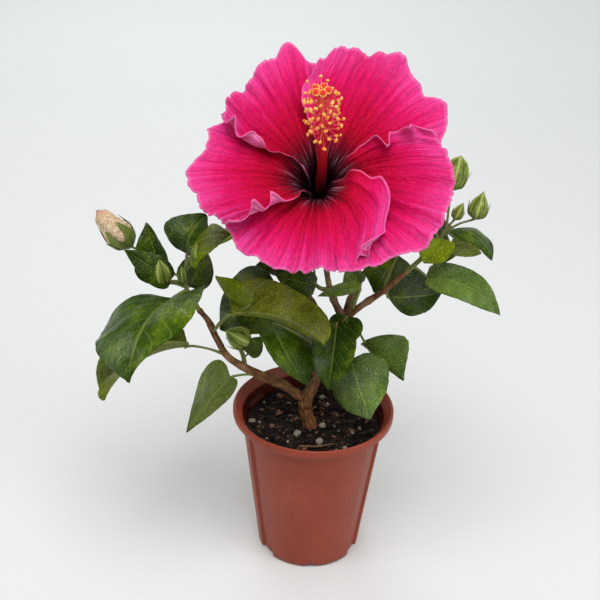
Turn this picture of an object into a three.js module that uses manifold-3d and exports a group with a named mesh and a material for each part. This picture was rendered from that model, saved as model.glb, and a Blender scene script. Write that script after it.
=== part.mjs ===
import * as THREE from "three";
import { mergeVertices } from "three/addons/utils/BufferGeometryUtils.js";
import Module from "manifold-3d";

// A hibiscus shrub with one open bloom, in an 11 cm nursery pot.
// Millimetres, +Z up. The origin is the middle of the pot's flat underside, and +Y points to the back.
// Directions are [azimuth, elevation] in degrees: azimuth 0 points to +X, 90 to the back.

const GAP = 0.3; // clearance between pieces that touch

// Pot of thin moulded plastic, with a wide raised panel in front and behind
const POT_HEIGHT = 112;
const RIM_RADIUS = 55;
const LIP_HEIGHT = 6;
const LIP_THICKNESS = 1.8;
const NECK_RADIUS = 49.5;
const FOOT_RADIUS = 36.4;
const WALL = 1.6;
const FLOOR = 2.6;
const CHAMFER = 0.9;
const PANEL_TURN = 4;
const PANEL_EDGE = 46.5;
const LOBE_EDGE = 67;
const EDGE_RAMP = 2;
const BAND_DEPTH = 1.8;
const LOBE_DEPTH = 0.5;
const FLUTE_TOP = 101;
const FACET_ANGLE = 20;
const NOTCH_WIDTH = 8;
const NOTCH_HEIGHT = 2.2;
const NOTCH_REACH = 6;
const DRAIN_RADIUS = 3;
const DRAIN_CIRCLE = 21;
const DRAINS = 4;

// Peat, level where the trunk stands
const SOIL_TOP = 97.5;
const SOIL_ROUGHNESS = 1.1;
const SOIL_LEVEL_RADIUS = 13;
const SOIL_RINGS = 4;

// Limbs: middle points and radii from foot to tip
const TRUNK = {
  path: [
    [-1.4, -4, 90],
    [-2.2, -4, 98],
    [-5.4, -4, 110],
    [-5.2, -3.8, 119],
    [-0.3, -3, 130],
    [9.4, 2, 155],
    [15.5, 6, 168],
    [17.8, 8, 177.5],
  ],
  radii: [6.6, 5.1, 4.3, 4.5, 3.4, 3, 3, 3.4],
  sides: 10,
  steps: 16,
};
const LEFT_BOUGH = {
  path: [
    [-4.2, -4, 117.5],
    [-11, -4, 122],
    [-20.5, -4, 129.5],
    [-41.4, -6, 140.5],
    [-58, -8, 153],
    [-65.5, -8, 167],
    [-71, -8, 180],
    [-76.7, -8, 187.4],
  ],
  radii: [3.4, 3.2, 3.3, 2.9, 2.3, 2.1, 1.9, 1.6],
  sides: 8,
  steps: 14,
};
const RIGHT_BOUGH = {
  path: [
    [18, 8, 176],
    [30, 8, 187],
    [43.6, 8, 198.3],
    [51, 8, 206],
    [57.5, 8, 213],
  ],
  radii: [2.7, 2.2, 2, 1.9, 1.6],
  sides: 8,
  steps: 8,
};
const BLOOM_STEM = {
  path: [
    [17, 8, 177],
    [11.4, 8.2, 187.4],
    [7.6, 8.2, 197.5],
    [4.6, 9, 212],
    [1, 11.5, 232],
    [-2.2, 11.9, 249.3],
    [-2.2, 6.6, 256.1],
  ],
  radii: [2.7, 2.3, 1.9, 1.7, 1.6, 1.7, 1.9],
  sides: 8,
  steps: 14,
};
const BACK_LEFT_BOUGH = {
  path: [
    [10, 3, 156],
    [2, 15, 172],
    [-13, 33, 191],
    [-23, 46, 204],
  ],
  radii: [2.6, 2.3, 2, 1.5],
  sides: 7,
  steps: 8,
};
const BACK_RIGHT_BOUGH = {
  path: [
    [16.6, 8, 171],
    [24, 24, 187],
    [36, 41, 202],
    [44, 50, 212],
  ],
  radii: [2.4, 2.1, 1.9, 1.5],
  sides: 7,
  steps: 8,
};

// Leaves
const LEAF_THICKNESS = 0.9;
const LEAF_COLUMNS = 4;
const LEAF_ROWS = 5;
const SMALL_LEAF = 30;
const LEAF_TIP_NARROWING = 0.3;
const LEAF_LEAST_WIDTH = 0.07;
const LEAF_LOBE = 0.16;
const LEAF_CUP = 0.25;
const LEAF_ROOM = 2;
const LAST_LEAF = 0.55;
const PETIOLE_RADIUS = 1;
const PETIOLE_SAG = 0.06;
const PETIOLE_IN_BLADE = 0.12;
const SLIVER = 0.05; // facets finer than this are merged
const STEM_RADIUS = 1.7;
const TWIG_SIDES = 3;
const GOLDEN_ANGLE = 137.5;

// Buds: widths at stations along their length, as parts of the full width
const BUD_SIDES = 7;
const BUD_STATIONS = [0, 0.04, 0.25, 0.5, 0.8, 1, 1];
const POINTED_BUD = [0, 0.4, 0.92, 1, 0.5, 0.08, 0];
const BLUNT_BUD = [0, 0.4, 0.95, 1, 0.8, 0.5, 0];

// Bloom: its own frame has Z along the corolla's axis and Y away from the pot's front
const BLOOM_CENTRE = [-2.2, -12, 279.9];
const BLOOM_ELEVATION = 52;
const PETAL_COUNT = 5;
const PETAL_THICKNESS = 0.9;
const PETAL_COLUMNS = 12;
const PETAL_ROWS = 8;
const PETAL_REACH = 80;
const PETAL_PROFILE = [
  [4.2, -24],
  [4.2, 2],
  [22, 19],
  [PETAL_REACH, 22],
];
const PETAL_FOOT_ANGLE = 34;
const PETAL_HALF_ANGLE = 44;
const PETAL_SPREAD_AT = 0.4;
const PETAL_ROOM = 1.02; // size of the room kept round an earlier petal
const PETAL_TILT = 1.5;
const PETAL_RUFFLE = 2.5;
const PETAL_WAVES = 3.4;
const CALYX_PROFILE = [
  [0, -30],
  [2.6, -29.2],
  [5.4, -26],
  [6.6, -21],
  [7.6, -16],
  [10.4, -8.5],
  [9.5, -7.8],
  [6.4, -16],
  [5.2, -22],
  [5.2, -24.4],
  [0, -24.4],
];
const CALYX_LOBE = 5;
const COLUMN = {
  path: [
    [0, 0, -24],
    [0.3, 0, -4],
    [0.8, 3, 16],
    [0.4, 10, 38],
    [-0.6, 16, 53],
    [-1.4, 20.5, 61],
  ],
  radii: [2.9, 3, 2.9, 2.4, 2, 1.4],
  sides: 8,
  steps: 10,
};
const ANTHERS = 16;
const ANTHERS_FROM = 0.56;
const FILAMENT = 8.5;
const FILAMENT_RADIUS = 0.5;
const ANTHER_RADIUS = 1.5;
const STIGMAS = 5;
const STYLE = 6;
const STIGMA_RADIUS = 2;

const rad = THREE.MathUtils.degToRad;
const group = new THREE.Group();
const placed = [];
const wasm = await Module();
wasm.setup();

// A run of seeded numbers from 0 to 1
function seeded(seed) {
  let state = seed >>> 0;
  return () => {
    state = (Math.imul(state, 1664525) + 1013904223) >>> 0;
    return state / 4294967296;
  };
}

// Moves every vertex of a geometry by a function of its place
function bend(geometry, place) {
  const position = geometry.attributes.position;
  const point = new THREE.Vector3();
  for (let i = 0; i < position.count; i += 1) {
    point.fromBufferAttribute(position, i);
    const moved = place(point, i);
    position.setXYZ(i, moved.x, moved.y, moved.z);
  }
  return geometry;
}

// A closed geometry as a solid whose faces point out
function solid(geometry) {
  const bare = geometry.clone();
  bare.deleteAttribute("normal");
  bare.deleteAttribute("uv");
  const merged = mergeVertices(bare, 1e-4);
  const corners = merged.index.array;
  const kept = [];
  for (let i = 0; i < corners.length; i += 3) {
    const [a, b, c] = corners.subarray(i, i + 3);
    if (a !== b && b !== c && c !== a) kept.push([a, b, c]);
  }
  const vertProperties = merged.attributes.position.array;
  const made = (turned) =>
    new wasm.Manifold(
      new wasm.Mesh({
        numProp: 3,
        vertProperties,
        triVerts: Uint32Array.from(kept.flatMap(([a, b, c]) => (turned ? [a, c, b] : [a, b, c]))),
      }),
    );
  const first = made(false);
  return first.volume() > 0 ? first : made(true);
}

function joined(solids) {
  return solids.reduce((whole, next) => whole.add(next));
}

function addMesh(name, shape, look) {
  const { vertProperties, triVerts } = shape.getMesh();
  const geometry = new THREE.BufferGeometry();
  geometry.setAttribute("position", new THREE.BufferAttribute(vertProperties, 3));
  geometry.setIndex(new THREE.BufferAttribute(triVerts, 1));
  const mesh = new THREE.Mesh(geometry, look);
  mesh.name = name;
  group.add(mesh);
  placed.push(shape);
}

const vector = (list) => new THREE.Vector3(...list);

function direction(azimuth, elevation) {
  const flat = Math.cos(rad(elevation));
  return new THREE.Vector3(
    flat * Math.cos(rad(azimuth)),
    flat * Math.sin(rad(azimuth)),
    Math.sin(rad(elevation)),
  );
}

// A value between evenly spaced entries of a list, for t from 0 to 1
function along(list, t) {
  const step = THREE.MathUtils.clamp(t, 0, 1) * (list.length - 1);
  const low = Math.min(Math.floor(step), list.length - 2);
  return THREE.MathUtils.lerp(list[low], list[low + 1], step - low);
}

// A tapering limb of round section, with more clearance all round where grow is set
function limb({ path, radii, sides, steps }, grow = 0) {
  const curve = new THREE.CatmullRomCurve3(path.map(vector), false, "centripetal");
  const frames = curve.computeFrenetFrames(steps, false);
  const rod = new THREE.CylinderGeometry(1, 1, 1, sides, steps);
  return solid(
    bend(rod, ({ x, y, z }) => {
      const step = Math.round((y + 0.5) * steps);
      const radius = along(radii, step / steps) + grow;
      return curve
        .getPoint(step / steps)
        .addScaledVector(frames.binormals[step], x * radius)
        .addScaledVector(frames.normals[step], z * radius);
    }),
  );
}

// Pot and soil: a lathe whose columns follow the moulded panels
function panelAngles() {
  const edges = [PANEL_EDGE, LOBE_EDGE, 180 - LOBE_EDGE, 180 - PANEL_EDGE];
  const marks = edges
    .flatMap((edge) => [edge, -edge])
    .flatMap((edge) => [edge - EDGE_RAMP / 2, edge + EDGE_RAMP / 2])
    .sort((a, b) => a - b);
  return marks.flatMap((mark, i) => {
    const next = i + 1 < marks.length ? marks[i + 1] : marks[0] + 360;
    const pieces = Math.ceil((next - mark) / FACET_ANGLE);
    return Array.from({ length: pieces }, (_, k) => mark + ((next - mark) * k) / pieces);
  });
}

function panelRelief(angle) {
  const side = Math.abs(THREE.MathUtils.euclideanModulo(angle + 180, 360) - 180);
  const fromMiddle = Math.min(side, 180 - side);
  if (fromMiddle < PANEL_EDGE) return 0;
  return fromMiddle < LOBE_EDGE ? -BAND_DEPTH : -LOBE_DEPTH;
}

const ANGLES = panelAngles();

function flutedLathe(profile, lift = () => 0) {
  const points = profile.map(([r, z]) => new THREE.Vector2(r, z));
  const lathe = new THREE.LatheGeometry(points, ANGLES.length);
  return solid(
    bend(lathe, (_, i) => {
      const { x: radius, y: height } = points[i % points.length];
      const column = Math.floor(i / points.length) % ANGLES.length;
      const fluted = height < FLUTE_TOP && radius > WALL ? panelRelief(ANGLES[column]) : 0;
      const turn = rad(ANGLES[column] + PANEL_TURN - 90);
      return new THREE.Vector3(
        (radius + fluted) * Math.cos(turn),
        (radius + fluted) * Math.sin(turn),
        height + lift(radius, height, column),
      );
    }),
  );
}

const outerRadius = (z) => THREE.MathUtils.mapLinear(z, 0, POT_HEIGHT - LIP_HEIGHT, FOOT_RADIUS, NECK_RADIUS);
const innerRadius = (z) => outerRadius(z) - WALL;

function makePot() {
  const lipLow = POT_HEIGHT - LIP_HEIGHT;
  const wall = flutedLathe([
    [0, 0],
    [FOOT_RADIUS - CHAMFER, 0],
    [outerRadius(CHAMFER), CHAMFER],
    [outerRadius(FLUTE_TOP - CHAMFER), FLUTE_TOP - CHAMFER],
    [outerRadius(FLUTE_TOP), FLUTE_TOP],
    [NECK_RADIUS, lipLow],
    [RIM_RADIUS - CHAMFER, lipLow],
    [RIM_RADIUS, lipLow + CHAMFER],
    [RIM_RADIUS, POT_HEIGHT - CHAMFER],
    [RIM_RADIUS - CHAMFER, POT_HEIGHT],
    [RIM_RADIUS - LIP_THICKNESS, POT_HEIGHT],
    [NECK_RADIUS - GAP, POT_HEIGHT - LIP_HEIGHT / 2 - CHAMFER],
    [innerRadius(lipLow), lipLow],
    [innerRadius(FLUTE_TOP), FLUTE_TOP],
    [innerRadius(FLUTE_TOP - CHAMFER), FLUTE_TOP - CHAMFER],
    [innerRadius(FLOOR), FLOOR],
    [0, FLOOR],
  ]);
  const notches = [0, 180].map((side) => {
    const wedge = new THREE.CylinderGeometry(1, 1, NOTCH_REACH, 3);
    wedge.scale(NOTCH_WIDTH / Math.sqrt(3), 1, (NOTCH_HEIGHT * 2) / 3);
    wedge.translate(0, FOOT_RADIUS, -NOTCH_HEIGHT / 3);
    return solid(wedge.rotateZ(rad(side + PANEL_TURN - 180)));
  });
  const drains = Array.from({ length: DRAINS }, (_, i) => {
    const hole = new THREE.CylinderGeometry(DRAIN_RADIUS, DRAIN_RADIUS, FLOOR * 3, 12);
    hole.rotateX(Math.PI / 2);
    hole.translate(DRAIN_CIRCLE, 0, 0);
    return solid(hole.rotateZ(rad(PANEL_TURN + 45 + (360 * i) / DRAINS)));
  });
  return [...notches, ...drains].reduce((body, cut) => body.subtract(cut), wall);
}

function makeSoil() {
  const random = seeded(41);
  const low = FLOOR + GAP;
  const edge = innerRadius(SOIL_TOP) - GAP * 1.5;
  const rings = Array.from({ length: SOIL_RINGS }, (_, i) =>
    THREE.MathUtils.lerp(edge - 1, SOIL_LEVEL_RADIUS, i / (SOIL_RINGS - 1)),
  );
  const bumps = Array.from({ length: ANGLES.length * (SOIL_RINGS + 4) }, () => random() * 2 - 1);
  return flutedLathe(
    [
      [0, low],
      [innerRadius(low) - GAP * 1.5, low],
      [edge, SOIL_TOP - 1],
      ...rings.map((r) => [r, SOIL_TOP]),
      [0, SOIL_TOP],
    ],
    (radius, height, column) => {
      const ring = rings.indexOf(radius);
      const rough = height === SOIL_TOP && ring > 0 && ring < SOIL_RINGS - 1;
      return rough ? SOIL_ROUGHNESS * bumps[column * SOIL_RINGS + ring] : 0;
    },
  );
}

// The outline of a leaf: its half width from 0 to 1, for v from the foot to the tip
function leafOutline(v, full) {
  const swell = Math.sin(Math.PI * Math.min(v, 1) ** 0.7);
  return Math.max(LEAF_LEAST_WIDTH, Math.max(swell, 0) ** full * (1 - LEAF_TIP_NARROWING * v ** 6));
}

const PLAIN_LEAF = {
  roll: 0,
  fold: 0, // rise of each half from the midrib
  droop: 30, // bend along the midrib
  lobe: LEAF_LOBE, // how far the two halves reach back past the petiole
  lobeSkew: 0, // more of that reach on one side
  full: 0.75, // lower where the blade keeps its width for longer
  skew: 0, // more width on one side
  sway: 0, // sideways curl of the tip
  thickness: LEAF_THICKNESS,
};

// A blade that droops along its length and folds along its midrib
function leafBlade(foot, [azimuth, elevation, chord], shape) {
  const { width, roll, fold, droop, lobe, lobeSkew, full, skew, sway, thickness } = shape;
  const bendAngle = rad(Math.max(droop, 1));
  const arc = (chord * (bendAngle / 2)) / Math.sin(bendAngle / 2);
  const bendRadius = arc / bendAngle;
  const run = direction(azimuth, elevation);
  const up = new THREE.Vector3(0, 0, 1);
  const level = up.addScaledVector(run, -run.z).normalize();
  const sideways = new THREE.Vector3().crossVectors(run, level);
  const face = level.multiplyScalar(Math.cos(rad(roll))).addScaledVector(sideways, Math.sin(rad(roll)));
  const across = new THREE.Vector3().crossVectors(run, face);
  const small = chord < SMALL_LEAF;
  const sheet = new THREE.BoxGeometry(1, 1, 1, small ? 2 : LEAF_COLUMNS, small ? 4 : LEAF_ROWS, 1);
  return solid(
    bend(sheet, ({ x, y, z }) => {
      const v = y + 0.5;
      const a = 2 * x;
      const half = (width / 2) * leafOutline(v, full);
      const out = a * half * (1 + skew * Math.sign(a));
      const lobed = lobe * (1 + lobeSkew * Math.sign(a));
      const back = lobed * width * a * a * (1 - v) ** 2 * leafOutline(v, full);
      const rise = Math.abs(out) * Math.sin(rad(fold)) - (LEAF_CUP * out * out) / width + z * thickness;
      const reach = bendAngle * (v - 0.5);
      const ahead = bendRadius * (Math.sin(reach) + Math.sin(bendAngle / 2)) + rise * Math.sin(reach) - back;
      const over = rise * Math.cos(reach) + bendRadius * (Math.cos(reach) - Math.cos(bendAngle / 2));
      return foot
        .clone()
        .addScaledVector(across, out * Math.cos(rad(fold)) + chord * sway * v * v)
        .addScaledVector(run, ahead)
        .addScaledVector(face, over);
    }),
  );
}

// A leaf on its petiole, from a point inside the twig that carries it
function leaf(root, { petiole, blade, ...shape }) {
  const [petioleAzimuth, petioleElevation, petioleLength] = petiole;
  const [azimuth, elevation, chord] = blade;
  const foot = root.clone().addScaledVector(direction(petioleAzimuth, petioleElevation), petioleLength);
  const middle = root.clone().lerp(foot, 0.5);
  middle.z += petioleLength * PETIOLE_SAG;
  const inBlade = foot.clone().addScaledVector(direction(azimuth, elevation), chord * PETIOLE_IN_BLADE);
  const stalk = limb({
    path: [root, middle, foot, inBlade].map((p) => p.toArray()),
    radii: [PETIOLE_RADIUS, PETIOLE_RADIUS * 0.8, PETIOLE_RADIUS, PETIOLE_RADIUS * 0.6],
    sides: TWIG_SIDES,
    steps: 3,
  });
  return stalk.add(leafBlade(foot, blade, { ...PLAIN_LEAF, width: chord * 0.8, ...shape }));
}

// A closed bud, pointed at its tip, on a thin stalk
function bud(root, { stalk, axis, length, width, blunt = false }) {
  const [stalkAzimuth, stalkElevation, stalkLength] = stalk;
  const foot = root.clone().addScaledVector(direction(stalkAzimuth, stalkElevation), stalkLength);
  const run = direction(...axis);
  const swell = blunt ? BLUNT_BUD : POINTED_BUD;
  const profile = swell.map((part, i) => new THREE.Vector2((width / 2) * part, length * BUD_STATIONS[i]));
  const body = new THREE.LatheGeometry(profile, BUD_SIDES);
  body.applyQuaternion(new THREE.Quaternion().setFromUnitVectors(new THREE.Vector3(0, 1, 0), run));
  body.translate(foot.x, foot.y, foot.z);
  const deep = foot.clone().addScaledVector(run, length * 0.3);
  const rod = limb({
    path: [root, foot, deep].map((p) => p.toArray()),
    radii: [PETIOLE_RADIUS, PETIOLE_RADIUS * 0.9, PETIOLE_RADIUS],
    sides: TWIG_SIDES,
    steps: 3,
  });
  return solid(body).add(rod);
}

// Bloom
const bloomFrame = new THREE.Matrix4()
  .makeBasis(new THREE.Vector3(1, 0, 0), direction(90, 90 - BLOOM_ELEVATION), direction(270, BLOOM_ELEVATION))
  .setPosition(...BLOOM_CENTRE);
const petalCurve = new THREE.CubicBezierCurve(...PETAL_PROFILE.map(([r, z]) => new THREE.Vector2(r, z)));

// A point of a petal: s from its foot to its outer margin, t across from the edge that is tucked under
// (-1) to the edge that lies on top of the next petal (+1), and lift away from its middle surface
function petalPoint(petal, s, t, lift) {
  const { x: fullRadius, y: height } = petalCurve.getPoint(s);
  const radius = fullRadius * THREE.MathUtils.lerp(1, along(petal.reach, (t + 1) / 2) / PETAL_REACH, s);
  const slope = petalCurve.getPoint(s + 0.01).sub(petalCurve.getPoint(s - 0.01)).normalize();
  const spread = THREE.MathUtils.smoothstep(s, 0, PETAL_SPREAD_AT);
  const half = THREE.MathUtils.lerp(PETAL_FOOT_ANGLE, PETAL_HALF_ANGLE, spread);
  const top = Math.max(0, t);
  const tucked = petal.tuck * spread * Math.min(0, t) ** 2;
  const lean = Math.sign(t) * THREE.MathUtils.smoothstep(Math.abs(t), 0.35, 0.7);
  const swing = Math.sin(Math.PI * (PETAL_WAVES * t + petal.phase));
  const wave = (PETAL_RUFFLE * s ** 4 * (swing + lean)) / (1 + Math.abs(lean));
  const out = PETAL_TILT * t * (spread + s ** 3) + wave + along(petal.lift, s) * top ** 2.5 + lift;
  const angle = rad(petal.angle + t * half + (along(petal.edge, s) - half) * top ** 2 - tucked);
  const r = radius - slope.y * out;
  const z = height + slope.x * out - petal.sag * s ** 3;
  return new THREE.Vector3(r * Math.cos(angle), r * Math.sin(angle), z).applyMatrix4(bloomFrame);
}

function makePetal(petal, thickness = PETAL_THICKNESS, size = 1) {
  const sheet = new THREE.BoxGeometry(size, size, 1, PETAL_COLUMNS, PETAL_ROWS, 1);
  return solid(bend(sheet, ({ x, y, z }) => petalPoint(petal, y + 0.5, 2 * x, z * thickness)));
}

function makeCalyx() {
  const points = CALYX_PROFILE.map(([r, z]) => new THREE.Vector2(r, z));
  const cup = new THREE.LatheGeometry(points, PETAL_COUNT * 4);
  const brim = Math.max(...CALYX_PROFILE.map(([r]) => r)) - 1.5;
  bend(cup, ({ x, y: height, z }) => {
    const radius = Math.hypot(x, z);
    const lobe = 0.5 - 0.5 * Math.cos(PETAL_COUNT * Math.atan2(x, z));
    return new THREE.Vector3(x, -z, height - (radius > brim ? CALYX_LOBE * lobe : 0));
  });
  return solid(cup.applyMatrix4(bloomFrame));
}

// The column in the middle of the bloom, with anthers on fine filaments and five stigma pads
function makeColumn() {
  const random = seeded(7);
  const curve = new THREE.CatmullRomCurve3(COLUMN.path.map(vector), false, "centripetal");
  const knob = (place, radius) =>
    solid(new THREE.OctahedronGeometry(radius, 0).translate(place.x, place.y, place.z));
  const tip = curve.getPoint(1);
  const pieces = [limb(COLUMN)];
  for (let i = 0; i < ANTHERS; i += 1) {
    const t = THREE.MathUtils.lerp(ANTHERS_FROM, 0.98, (i + random() * 0.6) / ANTHERS);
    const root = curve.getPoint(t);
    const turn = rad(GOLDEN_ANGLE * i);
    const out = new THREE.Vector3(Math.cos(turn), Math.sin(turn), 0.3 + 0.5 * random()).normalize();
    const end = root.clone().addScaledVector(out, FILAMENT * (0.8 + 0.4 * random()) + along(COLUMN.radii, t));
    const filament = { path: [root.toArray(), end.toArray()], radii: [FILAMENT_RADIUS, FILAMENT_RADIUS] };
    pieces.push(limb({ ...filament, sides: 3, steps: 1 }), knob(end, ANTHER_RADIUS));
  }
  for (let i = 0; i < STIGMAS; i += 1) {
    const turn = rad((360 * i) / STIGMAS);
    const out = new THREE.Vector3(Math.cos(turn), Math.sin(turn), 1).normalize();
    const end = tip.clone().addScaledVector(out, STYLE);
    const style = { path: [tip.toArray(), end.toArray()], radii: [0.7, 0.7], sides: 4, steps: 1 };
    pieces.push(limb(style), knob(end, STIGMA_RADIUS));
  }
  return joined(pieces).transform(bloomFrame.elements);
}

// Each petal's middle angle, how far it is tucked under the one before, its reach from the tucked edge to
// the top edge, and the top edge's angle and lift from foot to margin
const PETALS = [
  {
    angle: 56,
    tuck: 8,
    reach: [66, 72, 82, 87, 81, 85, 90, 90, 85, 84, 81, 76, 72],
    edge: [34, 38, 44, 44, 46, 31],
    lift: [0, 0, 1, 2, 3, 2],
    sag: 0,
    phase: 0.3,
  },
  {
    angle: 128,
    tuck: 6,
    reach: [72, 72, 73, 91, 81, 77, 73, 70, 71, 69, 67, 66, 65],
    edge: [34, 28, 14, 27, 47, 27],
    lift: [0, 0, 1, 3, 4, 2],
    sag: 0,
    phase: 1.1,
  },
  {
    angle: 196,
    tuck: 16,
    reach: [50, 56, 71, 68, 75, 79, 77, 75, 73, 71, 70, 69, 67],
    edge: [34, 30, 14, 40, 33, 25],
    lift: [0, 0, 1, 4, 4, 2],
    sag: 0,
    phase: 0.6,
  },
  {
    angle: 268,
    tuck: 22,
    reach: [62, 66, 69, 68, 68, 66, 66, 66, 66, 66, 64, 65, 66],
    edge: [34, 41, 64, 82, 70, 33],
    lift: [0, 1, 6, 11, 10, 6],
    sag: 8,
    phase: 0.2,
  },
  {
    angle: 342,
    tuck: 18,
    reach: [68, 70, 72, 76, 79, 79, 79, 79, 78, 76, 73, 71, 68],
    edge: [34, 40, 46, 50, 46, 37],
    lift: [0, 1, 3, 5, 5, 3],
    sag: 0,
    phase: 0.8,
  },
];

// Masses of foliage. Each grows on one stem from its root in a limb, and the stem's segments are
// [azimuth, elevation, length].
function onLimb({ path }, t) {
  return new THREE.CatmullRomCurve3(path.map(vector), false, "centripetal").getPoint(t);
}

function stemPoints(root, segments) {
  return segments.reduce(
    (points, [azimuth, elevation, length]) => [
      ...points,
      points[points.length - 1].clone().addScaledVector(direction(azimuth, elevation), length),
    ],
    [root],
  );
}

// Leaves set round a twig by the golden angle, over an arc that faces one way, smaller towards its tip
function whorl({ seed, count, facing, arc, petiole = 18, chord = 50 }) {
  const random = seeded(seed);
  return Array.from({ length: count }, (_, i) => {
    const t = i / Math.max(1, count - 1);
    const azimuth = facing + arc * (((GOLDEN_ANGLE * i) / 360) % 1) - arc / 2;
    const size = THREE.MathUtils.lerp(1, LAST_LEAF, t);
    const tilt = THREE.MathUtils.lerp(-42, 18, t);
    return {
      from: THREE.MathUtils.lerp(0.3, 1, t),
      petiole: [azimuth, 10 + 45 * t + 10 * random(), petiole * size],
      blade: [azimuth + 24 * (random() - 0.5), tilt + 12 * random(), chord * size],
      width: chord * size * (0.68 + 0.12 * random()),
      roll: 36 * (random() - 0.5),
      fold: 8 + 12 * random(),
      droop: 30 + 30 * random(),
    };
  });
}

function massTwig(root, stem) {
  return {
    path: stemPoints(root, stem).map((p) => p.toArray()),
    radii: [STEM_RADIUS, STEM_RADIUS * 0.9, STEM_RADIUS * 0.75],
    sides: 6,
    steps: stem.length + 2,
  };
}

// One mass: its stem, then the leaves and buds placed as they show
function massPieces({ on, at, stem = [], leaves = [], buds = [] }) {
  const root = onLimb(on, at);
  if (!stem.length) return leaves.map((shape) => leaf(root, shape));
  const twig = massTwig(root, stem);
  return [
    limb(twig),
    ...leaves.map(({ from, ...shape }) => leaf(onLimb(twig, from), shape)),
    ...buds.map(({ from, ...shape }) => bud(onLimb(twig, from), shape)),
  ];
}

// The leaves of a seeded whorl, without those that would touch what stands already
function fillPieces({ on, at, stem, fill }, standing) {
  const twig = massTwig(onLimb(on, at), stem);
  const pieces = [];
  for (const { from, ...shape } of whorl(fill)) {
    const root = onLimb(twig, from);
    const room = leaf(root, { ...shape, thickness: LEAF_ROOM });
    const touches = [...standing, ...pieces].some((other) => room.intersect(other).volume() > 0);
    if (!touches) pieces.push(leaf(root, shape));
  }
  return pieces;
}

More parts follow.
